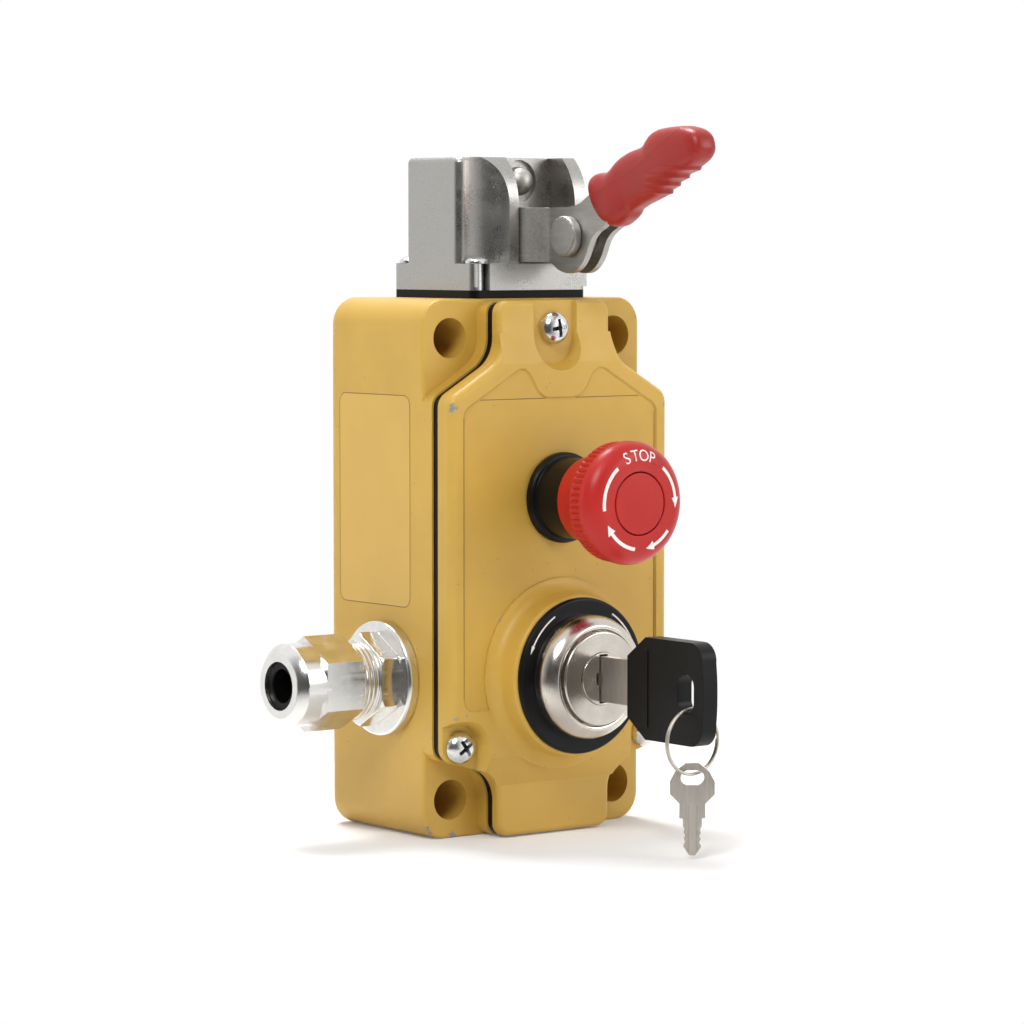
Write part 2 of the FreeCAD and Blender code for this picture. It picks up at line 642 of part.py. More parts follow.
def estop_mushroom():
    """Knob with a skirt that runs over the collar; grips round the rim."""
    rim, skirt, hub = HEAD_RIM_D / 2, SKIRT_D / 2, STEM_D / 2 + RUNNING
    inner = skirt - SKIRT_WALL
    rim_front = HEAD_BACK + HEAD_RIM_W
    roof = HEAD_BACK + 3
    cap = CAP_D / 2 + CAP_GROOVE
    profile = [(inner, SKIRT_BACK), (skirt - 0.3, SKIRT_BACK), (skirt, HEAD_BACK - 2.5),
               (skirt + 0.6, HEAD_BACK - 0.8, skirt + 2.2, HEAD_BACK), (rim - 1.0, HEAD_BACK + 0.4),
               (rim, HEAD_BACK + 1.6), (rim, rim_front),
               (rim - 1.6, HEAD_FRONT - 1.6, rim - 5.5, HEAD_FRONT), (cap, HEAD_FRONT + 0.1),
               (cap, HEAD_FRONT - 2.0), (hub, HEAD_FRONT - 2.0), (hub, roof), (inner, roof)]
    knob = turned(profile, V(0, 0, STOP_Z), -Y_AXIS)
    grips = []
    for i in range(40):
        angle = math.radians(9 * i)
        groove = box(rim - 0.55, rim + 1, -0.75, 0.75, HEAD_BACK + 1.4, rim_front - 2.6)
        groove.rotate(V(0, 0, 0), Z_AXIS, math.degrees(angle))
        grips.append(groove)
    cuts = placed(Part.makeCompound(grips), V(0, 0, STOP_Z), -Y_AXIS)
    return knob.cut(cuts)


def estop_cap():
    r = CAP_D / 2
    profile = [(0, HEAD_FRONT - 2.0), (r, HEAD_FRONT - 2.0), (r, HEAD_FRONT - 0.2),
               (r - 0.1, HEAD_FRONT + 0.15, r - 0.6, HEAD_FRONT + 0.3), (0, HEAD_FRONT + 0.5)]
    return turned(profile, V(0, 0, STOP_Z), -Y_AXIS)


def estop_stem():
    """Stem from the knob, through the collar, down to the contact block."""
    tip, body, guide = STEM_TIP_D / 2, STEM_D / 2, STOP_BORE_D / 2 - RUNNING
    rear = -PANEL_Y - STOP_SHANK_L - 2
    shoulder = -PANEL_Y
    profile = [(0, rear), (tip, rear), (tip, shoulder - 6), (body, shoulder - 6), (body, shoulder),
               (guide, shoulder), (guide, shoulder + 4), (body, shoulder + 4), (body, HEAD_FRONT - 2.2),
               (0, HEAD_FRONT - 2.2)]
    return turned(profile, V(0, 0, STOP_Z), -Y_AXIS)


def estop_nut():
    inside = PANEL_Y + COVER_SKIN
    ring = rod_y(STOP_NUT_D, 0, STOP_Z, inside, inside + STOP_NUT_T)
    return ring.cut(rod_y(STOP_SHANK_D, 0, STOP_Z, inside, inside + STOP_NUT_T))


def stop_terminal_places():
    """The four (x, z) places of the stop block's terminal screws."""
    reach_x, reach_z = STOP_BLOCK_W / 3, STOP_BLOCK_H / 3.7
    return [(sx * reach_x, STOP_Z - STOP_BLOCK_DOWN + sz * reach_z) for sx in (-1, 1) for sz in (-1, 1)]


def estop_contact_block():
    """Contact block clipped on behind the collar, with a well for the stem."""
    front = PANEL_Y + STOP_SHANK_L
    half, middle = STOP_BLOCK_W / 2, STOP_Z - STOP_BLOCK_DOWN
    body = box(-half, half, front, front + STOP_BLOCK_D, middle - STOP_BLOCK_H / 2, middle + STOP_BLOCK_H / 2)
    body = rounded(body, 1.5, along(Y_AXIS))
    well = rod_y(STEM_TIP_D + 0.8, 0, STOP_Z, front, front + 2 + STOP_TRAVEL + 1)
    screws = [rod_y(TERMINAL_HOLE_D, x, z, front, front + 3) for x, z in stop_terminal_places()]
    return body.cut(Part.makeCompound([well] + screws))


def estop_terminals():
    front = PANEL_Y + STOP_SHANK_L
    return Part.makeCompound([
        rod_y(TERMINAL_D, x, z, front + 0.8, front + 3) for x, z in stop_terminal_places()])


def estop_spring():
    """Return spring between the stem's guide and the block's front face."""
    length = STOP_SHANK_L - 0.4
    return coil(STEM_D + 1.6, 1.2, length, 6, V(0, PANEL_Y + STOP_SHANK_L - 0.2, STOP_Z), -Y_AXIS)


# ---- key lock -------------------------------------------------------------
def lock_ring():
    r, t = LOCK_RING_D / 2, LOCK_RING_T
    profile = [(BARREL_D / 2 + 0.1, 0), (r, 0), (r, t - 0.5), (r - 0.5, t), (BARREL_D / 2 + 0.1, t)]
    return turned(profile, V(0, -LOCK_BOSS_FRONT, LOCK_Z), -Y_AXIS)


def lock_bezel():
    """Domed bezel in one piece with the threaded barrel."""
    seat = LOCK_BOSS_FRONT + LOCK_RING_T
    r, lip, barrel, core = (d / 2 for d in (BEZEL_D, BEZEL_LIP_D, BARREL_D, CORE_D))
    bore = core + RUNNING
    front = seat + BEZEL_H
    profile = [(bore, BARREL_END), (barrel, BARREL_END), (barrel, seat), (r - 0.5, seat), (r, seat + 0.6),
               (r, seat + 2.0), (r - 1.3, seat + 5.6, lip + 1.2, front), (lip, front - 0.2),
               (lip, FACE_FRONT - FACE_T), (bore, FACE_FRONT - FACE_T)]
    return turned(profile, V(0, 0, LOCK_Z), -Y_AXIS)


def lock_face():
    r, bore = FACE_D / 2, CORE_D / 2 + RUNNING
    back = FACE_FRONT - FACE_T
    profile = [(bore, back), (r, back), (r, FACE_FRONT - 0.6), (r - 0.6, FACE_FRONT), (bore, FACE_FRONT)]
    return turned(profile, V(0, 0, LOCK_Z), -Y_AXIS)


def lock_core():
    """Turning core with a keyway; a tapped square tail carries the cam."""
    body = rod_y(CORE_D, 0, LOCK_Z, -CORE_FRONT, -BARREL_END)
    tail = box(-4, 4, -BARREL_END, CAM_Y + CAM_T, LOCK_Z - 4, LOCK_Z + 4)
    keyway = box(-KEYWAY_W / 2, KEYWAY_W / 2, -CORE_FRONT, -CORE_FRONT + KEYWAY_DEPTH,
                 LOCK_Z - KEYWAY_H / 2, LOCK_Z + KEYWAY_H / 2)
    cross = box(-2.6, 2.6, -CORE_FRONT, -CORE_FRONT + 1.5, LOCK_Z - 1.9, LOCK_Z + 1.9)
    thread = rod_y(COVER_SCREW_D - 1, 0, LOCK_Z, CAM_Y - 6, CAM_Y + CAM_T)
    return body.fuse(tail).cut(Part.makeCompound([keyway, cross, thread]))


def cam_radius(angle):
    """Evenly rising stretch of the cam, in degrees from the follower."""
    return CAM_MIN_R + CAM_PER_DEGREE * angle


def lock_cam():
    """Cam whose radius rises evenly with the turn, so its follower does too."""
    rise = range(-30, 121, 10)

    def at(angle, radius):
        return V(radius * math.cos(math.radians(angle)), 0, radius * math.sin(math.radians(angle)))

    curve = Part.BSplineCurve()
    curve.interpolate([at(a, cam_radius(a)) for a in rise])
    start, end = at(rise[0], cam_radius(rise[0])), at(rise[-1], cam_radius(rise[-1]))
    back = Part.Arc(end, at(225, CAM_MIN_R + 1), start)
    face = Part.Face(Part.Wire([curve.toShape(), back.toShape()]))
    disc = face.extrude(V(0, CAM_T, 0))
    disc.translate(V(0, CAM_Y, LOCK_Z))
    square = box(-4, 4, CAM_Y, CAM_Y + CAM_T, LOCK_Z - 4, LOCK_Z + 4)
    return disc.cut(square)


def cam_screw():
    rear = CAM_Y + CAM_T
    return pan_screw(COVER_SCREW_HEAD_D, 2.6, COVER_SCREW_D - 1, 5, V(0, rear, LOCK_Z), Y_AXIS)


def lock_nut():
    inside = -LOCK_BOSS_FRONT + LOCK_BOSS_SKIN
    ring = hex_bar(LOCK_NUT_D * 0.9, LOCK_NUT_T, V(0, inside, LOCK_Z), Y_AXIS)
    return ring.cut(rod_y(BARREL_D, 0, LOCK_Z, inside, inside + LOCK_NUT_T))


def follower_y():
    return CAM_Y + CAM_T / 2


def lock_plunger():
    """Contact pin pushed sideways by the cam."""
    tip = cam_radius(0) + PITCH_GAP
    r = FOLLOWER_D / 2
    pin = rod(FOLLOWER_D, V(tip + r, follower_y(), LOCK_Z), V(SIDE_BLOCK_X + 5, follower_y(), LOCK_Z))
    return pin.fuse(Part.makeSphere(r, V(tip + r, follower_y(), LOCK_Z)))


def side_block_front():
    return follower_y() - SIDE_BLOCK_D / 2 + 1.5


def side_block_rear():
    return side_block_front() + SIDE_BLOCK_D


def side_block_screws():
    x = SIDE_BLOCK_END - 4.5
    return [(x, LOCK_Z - SIDE_BLOCK_DOWN + s * SIDE_SCREW_SPACING / 2) for s in (-1, 1)]


def lock_contact_block():
    """Contact block beside the cam, on two pillars of the housing."""
    x0, y0 = SIDE_BLOCK_X, side_block_front()
    low = LOCK_Z - SIDE_BLOCK_DOWN - SIDE_BLOCK_H / 2
    body = box(x0, SIDE_BLOCK_END, y0, side_block_rear(), low, low + SIDE_BLOCK_H)
    body = rounded(body, 1.2, along(Y_AXIS))
    well = rod(FOLLOWER_D + 0.6, V(x0, follower_y(), LOCK_Z), V(x0 + 5 + CAM_LIFT + 1, follower_y(), LOCK_Z))
    screws = [rod_y(BLOCK_SCREW_D + 0.2, x, z, y0, side_block_rear()) for x, z in side_block_screws()]
    return body.cut(Part.makeCompound([well] + screws))


# ---- key, ring and spare key ----------------------------------------------
def key_blade():
    """Blade with cuts in both edges, and a tang that is moulded into the bow."""
    half = KEY_H / 2
    blade = box(-KEY_T / 2, KEY_T / 2, -BOW_BACK - KEY_TANG, -KEY_TIP, LOCK_Z - half, LOCK_Z + half)
    nicks = []
    for i in range(4):
        y = -KEY_TIP - 2.5 - 3.2 * i
        reach = half + KEY_NICK_R - 1.0 - 0.5 * ((2 * i) % 3)
        for side in (-1, 1):
            z = LOCK_Z + side * reach
            nicks.append(rod(2 * KEY_NICK_R, V(-KEY_T, y, z), V(KEY_T, y, z)))
    return blade.cut(Part.makeCompound(nicks))


def key_bow():
    """Moulded bow: cut corners at the lock, a round end and a slot for the ring."""
    y0, y1 = -BOW_BACK, -BOW_BACK - BOW_L
    half = BOW_H / 2
    upper = [(y0, 8.6), (y0 - 7, half), (y0 - 27, half)]
    arc_mid, arc_end = (y1 + 3.4, half - 5.2), (y1, 0)

    def at(point, side):
        return V(-BOW_T / 2, point[0], BOW_Z + side * point[1])

    edges = [Part.LineSegment(at(upper[0], -1), at(upper[0], 1))]
    for side in (-1, 1):
        edges += [Part.LineSegment(at(upper[i], side), at(upper[i + 1], side)) for i in range(2)]
        edges.append(Part.Arc(at(upper[2], side), at(arc_mid, side), at(arc_end, side)))
    face = Part.Face(Part.Wire(Part.__sortEdges__([e.toShape() for e in edges])))
    bow = face.extrude(V(BOW_T, 0, 0))
    bow = rounded(bow, 0.8, in_plane(X_AXIS, -BOW_T / 2))
    bow = rounded(bow, 0.8, in_plane(X_AXIS, BOW_T / 2))
    r, reach = BOW_HOLE_W / 2, BOW_HOLE_H / 2 - BOW_HOLE_W / 2
    low, high = BOW_Z - reach, BOW_Z + reach
    ends = [rod(BOW_HOLE_W, V(-BOW_T, -BOW_HOLE_Y, z), V(BOW_T, -BOW_HOLE_Y, z)) for z in (low, high)]
    middle = box(-BOW_T, BOW_T, -BOW_HOLE_Y - r, -BOW_HOLE_Y + r, low, high)
    return bow.cut(Part.makeCompound(ends + [middle, key_blade()]))


def key_ring():
    return Part.makeTorus(RING_R, RING_WIRE_D / 2, V(0, -BOW_HOLE_Y, RING_Z), Y_AXIS)


def spare_key():
    """Flat key hanging from the ring: eight-sided bow, stepped and notched blade."""
    half_bow, corner = SPARE_BOW_W / 2, 3.6
    top = SPARE_HOLE_H / 2 + 3.2
    low = top - SPARE_BOW_H
    tip = top - SPARE_L
    outline = [(half_bow - corner - 0.6, top), (half_bow, top - corner - 1), (half_bow, low + corner),
               (4.2, low), (4.2, low - 3.6), (2.9, low - 3.8), (2.9, low - 7.0), (2.2, low - 8.0),
               (2.9, low - 9.4), (2.9, tip + 2.6), (0.9, tip)]
    points = [V(x, 0, z) for x, z in outline] + [V(-x, 0, z) for x, z in reversed(outline)]
    key = Part.Face(Part.makePolygon(points + points[:1])).extrude(V(0, SPARE_T, 0))
    key.translate(V(0, -SPARE_T / 2, 0))
    flutes = [box(sx * 1.5 - 0.35, sx * 1.5 + 0.35, sy * SPARE_T / 2 - 0.3, sy * SPARE_T / 2 + 0.3, tip, low)
              for sx in (-1, 1) for sy in (-1, 1)]
    reach = (SPARE_HOLE_W - SPARE_HOLE_H) / 2
    hole = box(-reach, reach, -SPARE_T, SPARE_T, -SPARE_HOLE_H / 2, SPARE_HOLE_H / 2)
    hole = hole.fuse([rod_y(SPARE_HOLE_H, s * reach, 0, -SPARE_T, SPARE_T) for s in (-1, 1)])
    key = key.cut(Part.makeCompound(flutes + [hole]))
    key.rotate(V(0, 0, 0), Z_AXIS, -SPARE_YAW)
    key.translate(V(0, -BOW_HOLE_Y, SPARE_HOLE_Z))
    return key


# ---- cable gland ----------------------------------------------------------
def gland_at(distance):
    """A point on the gland's axis, that far out of the housing's side."""
    return V(-HALF_W - distance, GLAND_Y, GLAND_Z)


def gland_washer():
    r, t, bore = GLAND_WASHER_D / 2, GLAND_WASHER_T, GLAND_THREAD_D / 2 + 0.1
    profile = [(bore, 0), (r, 0), (r, t - 0.6), (r - 0.6, t), (bore, t)]
    return turned(profile, gland_at(0), -X_AXIS)


def gland_body():
    """Threaded body: stub into the housing, hexagon, and neck for the dome nut."""
    start = -HOUSING_WALL - LOCKNUT_T - 0.5
    hex_end = GLAND_WASHER_T + GLAND_HEX_T
    neck_end = hex_end + GLAND_NECK_GAP + 5
    body = rod(GLAND_THREAD_D, gland_at(start), gland_at(hex_end))
    corner = GLAND_HEX_AF / math.sqrt(3)
    blank = turned([(0, 0), (corner - 0.9, 0), (corner, 0.9), (corner, GLAND_HEX_T - 0.9),
                    (corner - 0.9, GLAND_HEX_T), (0, GLAND_HEX_T)], gland_at(GLAND_WASHER_T), -X_AXIS)
    body = body.fuse(blank.common(hex_bar(GLAND_HEX_AF, GLAND_HEX_T, gland_at(GLAND_WASHER_T), -X_AXIS)))
    body = body.fuse(rod(GLAND_NECK_D, gland_at(hex_end), gland_at(neck_end)))
    return body.cut(rod(GLAND_BODY_BORE, gland_at(start), gland_at(neck_end)))


def gland_dome_nut():
    """Cap nut: hexagon behind, domed nose in front, open mouth for the cable."""
    back = GLAND_WASHER_T + GLAND_HEX_T + GLAND_NECK_GAP
    corner, mouth = GLAND_NUT_AF / math.sqrt(3), GLAND_MOUTH_D / 2
    neck = GLAND_NECK_D / 2 + RUNNING
    profile = [(neck, 0), (corner - 0.8, 0), (corner, 0.8), (corner, GLAND_NUT_HEX_L),
               (corner - 1.2, GLAND_NUT_L - 3.6, mouth + 2.2, GLAND_NUT_L), (mouth, GLAND_NUT_L),
               (mouth, 7.0), (neck, 6.0)]
    blank = turned(profile, gland_at(back), -X_AXIS)
    flats = hex_bar(GLAND_NUT_AF, GLAND_NUT_HEX_L, gland_at(back), -X_AXIS)
    nose = turned([(0, GLAND_NUT_HEX_L - 1.5), (GLAND_NUT_AF / 2 + 0.05, GLAND_NUT_HEX_L - 1.5),
                   (GLAND_NUT_AF / 2 + 0.05, GLAND_NUT_L), (0, GLAND_NUT_L)], gland_at(back), -X_AXIS)
    return blank.common(flats.fuse(nose))


def gland_seal():
    """Rubber sleeve squeezed round the cable."""
    back = GLAND_WASHER_T + GLAND_HEX_T + GLAND_NECK_GAP
    outer, inner = GLAND_MOUTH_D / 2, GLAND_SEAL_D / 2
    start, end = back + 7.0, back + GLAND_NUT_L - 1.2
    return rod(2 * outer, gland_at(start), gland_at(end)).cut(rod(2 * inner, gland_at(start), gland_at(end)))


def gland_locknut():
    inside = -HOUSING_WALL - LOCKNUT_T
    nut = hex_bar(LOCKNUT_AF, LOCKNUT_T, gland_at(inside), -X_AXIS, 30)
    return nut.cut(rod(GLAND_THREAD_D, gland_at(inside), gland_at(inside + LOCKNUT_T)))


# ---- head -----------------------------------------------------------------
def head_screw_places():
    return [(-HEAD_SCREW_X, -HEAD_SCREW_FRONT), (SUNK_SCREW_X, -SUNK_SCREW_Y),
            (-HEAD_SCREW_X, -HEAD_SCREW_REAR), (HEAD_SCREW_X, -HEAD_SCREW_REAR)]


def flange_plate(z0, z1):
    half = FLANGE_W / 2
    return rounded(box(-half, half, -FLANGE_FRONT, -FLANGE_REAR, z0, z1), FLANGE_R, along(Z_AXIS))


def head_gasket():
    plate = flange_plate(HALF_H, FLANGE_Z)
    holes = [rod_z(HEAD_SCREW_D + 0.4, x, y, HALF_H, FLANGE_Z) for x, y in head_screw_places()]
    holes.append(rod_z(ROD_D + 1, TONGUE_X, ROD_Y, HALF_H, FLANGE_Z))
    return plate.cut(Part.makeCompound(holes))


def cheek_corner():
    """What the round top front corner of the two cheeks takes away."""
    y, z, half = CHEEK_ROUND - FLANGE_FRONT, BLOCK_TOP - CHEEK_ROUND_DOWN, FLANGE_W / 2
    block = box(-half, half, -FLANGE_FRONT - 1, y, z, BLOCK_TOP)
    return block.cut(rod(2 * CHEEK_ROUND, V(-half, y, z), V(half, y, z)))


def head_scoop():
    """Upright round hollow from the head's front corner out to the left cheek."""
    corner = V(-FLANGE_W / 2 + SCOOP_LIP, -BLOCK_FRONT, 0)
    chord = V(CHEEK_LEFT, -FLANGE_FRONT, 0).sub(corner)
    out = math.sqrt(SCOOP_R ** 2 - (chord.Length / 2) ** 2) / chord.Length
    axis = corner + chord * 0.5 + V(chord.y, -chord.x, 0) * out
    return rod_z(2 * SCOOP_R, axis.x, axis.y, FLOOR_Z, BLOCK_TOP + 1)


def head_block():
    """Cast head: flange, block, and two cheeks each side of the lever's slot."""
    half = FLANGE_W / 2
    block = box(-half, half, -BLOCK_FRONT, -BLOCK_REAR, FLANGE_Z + 1, BLOCK_TOP)
    block = rounded(block, BLOCK_R, along(Z_AXIS))
    block = rounded(block, BLOCK_TOP_R, in_plane(Z_AXIS, BLOCK_TOP))
    rear_pocket = -HEAD_SCREW_REAR - HEAD_SCREW_HEAD_D / 2 - POCKET_PLAY
    for side in (-1, 1):
        x = sorted((side * half, side * (half - REAR_POCKET_W)))
        block = block.cut(box(x[0], x[1], rear_pocket, 0, FLOOR_Z, BLOCK_TOP))
    cheeks = [box(CHEEK_LEFT, SLOT_LEFT, -FLANGE_FRONT, SLOT_Y, FLANGE_Z + 1, BLOCK_TOP),
              box(SLOT_RIGHT, half, -FLANGE_FRONT, SLOT_Y, FLANGE_Z + 1, BLOCK_TOP)]
    foot = box(-half + SCOOP_LIP, CHEEK_LEFT, -FLANGE_FRONT, -BLOCK_FRONT, FLANGE_Z + 1, BLOCK_TOP)
    block = block.fuse(cheeks + [foot]).cut(head_scoop()).removeSplitter()
    block = block.cut(box(SLOT_LEFT, SLOT_RIGHT, -FLANGE_FRONT, SLOT_Y, FLOOR_Z, BLOCK_TOP))
    block = block.cut(cheek_corner())
    body = block.fuse(flange_plate(FLANGE_Z, FLOOR_Z)).removeSplitter()
    return body.cut(Part.makeCompound(head_cuts()))


def head_cuts():
    """Bores and screw holes of the head."""
    wall = SLOT_Y
    half_slot = TONGUE_T / 2 + SLIDING
    top = TONGUE_Z + TONGUE_H / 2 + SWING
    cuts = [box(TONGUE_X - half_slot, TONGUE_X + half_slot, wall, -TONGUE_END + 1, TONGUE_SLOT_LOW, top),
            rod_z(ROD_D + 2 * RUNNING, TONGUE_X, ROD_Y, FLANGE_Z, TONGUE_SLOT_LOW),
            rod_z(BUSH_D, TONGUE_X, ROD_Y, FLANGE_Z, FLANGE_Z + BUSH_L),
            rod_y(DETENT_RING_D, DETENT_X, DETENT_Z, wall, wall + DETENT_RING_DEPTH),
            rod_y(DETENT_D + 2 * RUNNING, DETENT_X, DETENT_Z, wall, wall + DETENT_BORE_L)]
    shank = HEAD_SCREW_D + 0.5
    cuts += [rod_z(shank, x, y, FLANGE_Z, FLOOR_Z) for x, y in head_screw_places()]
    cuts.append(rod_z(HEAD_SCREW_HEAD_D + 0.4, SUNK_SCREW_X, -SUNK_SCREW_Y, FLOOR_Z - 3.4, FLOOR_Z))
    x, y = head_screw_places()[0]
    cuts.append(box(x - shank / 2, x + shank / 2, -FLANGE_FRONT, y, FLANGE_Z, FLOOR_Z))
    return cuts


def head_screws():
    screws = []
    for i, (x, y) in enumerate(head_screw_places()):
        seat = FLOOR_Z - 3.4 if i == 1 else FLOOR_Z
        length = seat - HALF_H + HEAD_SCREW_DEPTH
        screws.append(pan_screw(HEAD_SCREW_HEAD_D, HEAD_SCREW_HEAD_H, HEAD_SCREW_D, length,
                                V(x, y, seat), Z_AXIS))
    return Part.makeCompound(screws)


def rod_bush():
    bush = rod_z(BUSH_D, TONGUE_X, ROD_Y, FLANGE_Z, FLANGE_Z + BUSH_L)
    return bush.cut(rod_z(ROD_D + 2 * RUNNING, TONGUE_X, ROD_Y, FLANGE_Z, FLANGE_Z + BUSH_L))


def detent_plunger():
    nose = SLOT_Y - DETENT_OUT
    r = DETENT_D / 2
    profile = [(0, -DETENT_L), (r, -DETENT_L), (r, -0.9 * r), dome(r, -0.9 * r, 0)]
    body = turned(profile, V(DETENT_X, nose, DETENT_Z), -Y_AXIS)
    return body.cut(rod_y(DETENT_SPRING_D + 0.6, DETENT_X, DETENT_Z, nose + DETENT_L - 5, nose + DETENT_L))


def detent_spring():
    rear = SLOT_Y + DETENT_BORE_L
    front = SLOT_Y - DETENT_OUT + DETENT_L - 5
    return coil(DETENT_SPRING_D - 1.0, 1.0, rear - front, 6, V(DETENT_X, front, DETENT_Z), Y_AXIS)


# ---- tongue and lever -----------------------------------------------------
def side_view(points, x0, x1):
    """A plate drawn in side view (Y, Z) between two X planes."""
    wire = Part.makePolygon([V(x0, y, z) for y, z in list(points) + [points[0]]])
    return Part.Face(wire).extrude(V(x1 - x0, 0, 0))


def tongue_bar():
    """Flat tongue: round eye for the rivet, and a ramp under its inner end."""
    x0, x1 = TONGUE_X - TONGUE_T / 2, TONGUE_X + TONGUE_T / 2
    top = TONGUE_Z + TONGUE_H / 2
    ramp_start = ROD_Y - 0.5
    ramp_run = -TONGUE_END - ramp_start
    ramp_top = TONGUE_LOW + ramp_run / RAMP_RATIO
    points = [(PIVOT_Y, TONGUE_LOW), (ramp_start, TONGUE_LOW), (-TONGUE_END, ramp_top),
              (-TONGUE_END, top - 2), (-TONGUE_END - 2, top), (PIVOT_Y, top)]
    eye = rod(TONGUE_H, V(x0, PIVOT_Y, TONGUE_Z), V(x1, PIVOT_Y, TONGUE_Z))
    bar = side_view(points, x0, x1).fuse(eye).removeSplitter()
    return bar.cut(rod(RIVET_D, V(x0, PIVOT_Y, PIVOT_Z), V(x1, PIVOT_Y, PIVOT_Z)))


def pivot_rivet():
    half = RIVET_WIDTH / 2
    head, shank, h = RIVET_HEAD_D / 2, RIVET_D / 2, RIVET_HEAD_H
    left = [(0, -half - h), (head - 0.5, -half - h), (head, -half - h + 0.5), (head, -half), (shank, -half)]
    profile = left + [(r, -x) for r, x in reversed(left)]
    return turned(profile, V(TONGUE_X, PIVOT_Y, PIVOT_Z), X_AXIS)


def lever_outline(x0, x1):
    """Side view of a lever plate: tail, lobe round the rivet, and arm."""
    tail = box(x0, x1, PIVOT_Y, -TAIL_END, TAIL_LOW, TAIL_TOP)
    lobe = rod(2 * LOBE_R, V(x0, PIVOT_Y, PIVOT_Z), V(x1, PIVOT_Y, PIVOT_Z))
    rise = math.radians(ARM_RISE)
    along_y, along_z = -math.cos(rise), math.sin(rise)
    half = ARM_W / 2

    def on_arm(distance, offset):
        y = ARM_AT[0] + along_y * distance + along_z * offset
        z = ARM_AT[1] + along_z * distance - along_y * offset
        return y, z

    lobe_side = (PIVOT_Y - LOBE_R * 0.94, PIVOT_Z + LOBE_R * 0.34)
    arm = side_view([(PIVOT_Y, TAIL_TOP), on_arm(-2, half), on_arm(ARM_L, half), on_arm(ARM_L, -half),
                     on_arm(1, -half), lobe_side, (PIVOT_Y, PIVOT_Z)], x0, x1)
    return tail.fuse([lobe, arm]).removeSplitter()


def lever_plate(side):
    """One of the two bent plates; side is -1 for the left one."""
    wall = SLOT_LEFT if side < 0 else SLOT_RIGHT
    outer = wall - side * SWING
    inner = TONGUE_X + side * (TONGUE_T / 2 + SLIDING)
    bend = -FLANGE_FRONT - 0.4
    run = abs(outer - inner - side * PLATE_T) * 0.75
    middle = outer - side * PLATE_T / 2
    near = inner + side * PLATE_T / 2
    path = [V(middle, -TAIL_END, 0), V(middle, bend, 0), V(near, bend - run, 0), V(near, PIVOT_Y - 60, 0)]
    band = bent_band(path, PLATE_T)
    x0, x1 = sorted((outer, inner))
    plate = band.common(lever_outline(x0, x1))
    hole = rod(RIVET_D + 2 * RUNNING, V(x0, PIVOT_Y, PIVOT_Z), V(x1, PIVOT_Y, PIVOT_Z))
    return plate.cut(hole)


def bent_band(path, thickness):
    """Upright strip that follows a bent line, seen from above."""
    left, right = [], []
    for i, point in enumerate(path):
        before = point.sub(path[i - 1]).normalize() if i else None
        after = path[i + 1].sub(point).normalize() if i + 1 < len(path) else None
        run = (before or after) + (after or before)
        run.normalize()
        square = V(-run.y, run.x, 0)
        reach = thickness / 2 / max(run.dot(after or before), 0.5)
        left.append(point + square * reach)
        right.append(point - square * reach)
    outline = left + right[::-1]
    band = Part.Face(Part.makePolygon(outline + outline[:1])).extrude(V(0, 0, BLOCK_TOP))
    band.translate(V(0, 0, TAIL_LOW - 5))
    return band


def grip_section(station):
    """Rounded section of the grip, square to its length."""
    along_grip, middle, half_h, half_w = station
    rise = math.radians(GRIP_RISE)
    forward = V(0, -math.cos(rise), math.sin(rise))
    upward = V(0, math.sin(rise), math.cos(rise))
    centre = V(TONGUE_X, *GRIP_START) + forward * along_grip + upward * middle
    r = 0.82 * min(half_w, half_h)
    a, b, d = half_w - r, half_h - r, r * math.sqrt(0.5)

    def at(u, w):
        return centre + X_AXIS * u + upward * w

    edges = []
    for su, sw, turn in ((1, 1, 0), (-1, 1, 1), (-1, -1, 0), (1, -1, 1)):
        side, end = at(su * half_w, sw * b), at(su * a, sw * half_h)
        first, last = (side, end) if not turn else (end, side)
        edges.append(Part.Arc(first, at(su * (a + d), sw * (b + d)), last).toShape())
    wire = []
    for i, edge in enumerate(edges):
        wire.append(edge)
        here, there = edge.Vertexes[-1].Point, edges[(i + 1) % 4].Vertexes[0].Point
        wire.append(Part.LineSegment(here, there).toShape())
    return Part.Wire(wire)


def lever_grip():
    body = Part.makeLoft([grip_section(s) for s in GRIP_STATIONS], True, False)
    return body.cut(Part.makeCompound([lever_plate(-1), lever_plate(1)]))


# ---- rod and contact block ------------------------------------------------
def switch_rod():
    """Rod held down by the tongue; its collar takes the return spring."""
    shoulder = TONGUE_SLOT_LOW - ROD_SHOULDER
    tip = TONGUE_LOW - PITCH_GAP
    body, nose, collar = ROD_D / 2, ROD_NOSE_D / 2, ROD_COLLAR_D / 2
    z0, z1 = ROD_COLLAR_Z, ROD_COLLAR_Z + ROD_COLLAR_T
    profile = [(0, z0), (collar, z0), (collar, z1), (body, z1), (body, shoulder), (nose, shoulder),
               (nose, tip - nose), dome(nose, tip - nose, tip)]
    return turned(profile, V(TONGUE_X, ROD_Y, 0), Z_AXIS)


def contact_pin():
    return rod_z(CONTACT_PIN_D, TONGUE_X, ROD_Y, BLOCK_Z + BLOCK_H - 8, ROD_COLLAR_Z)


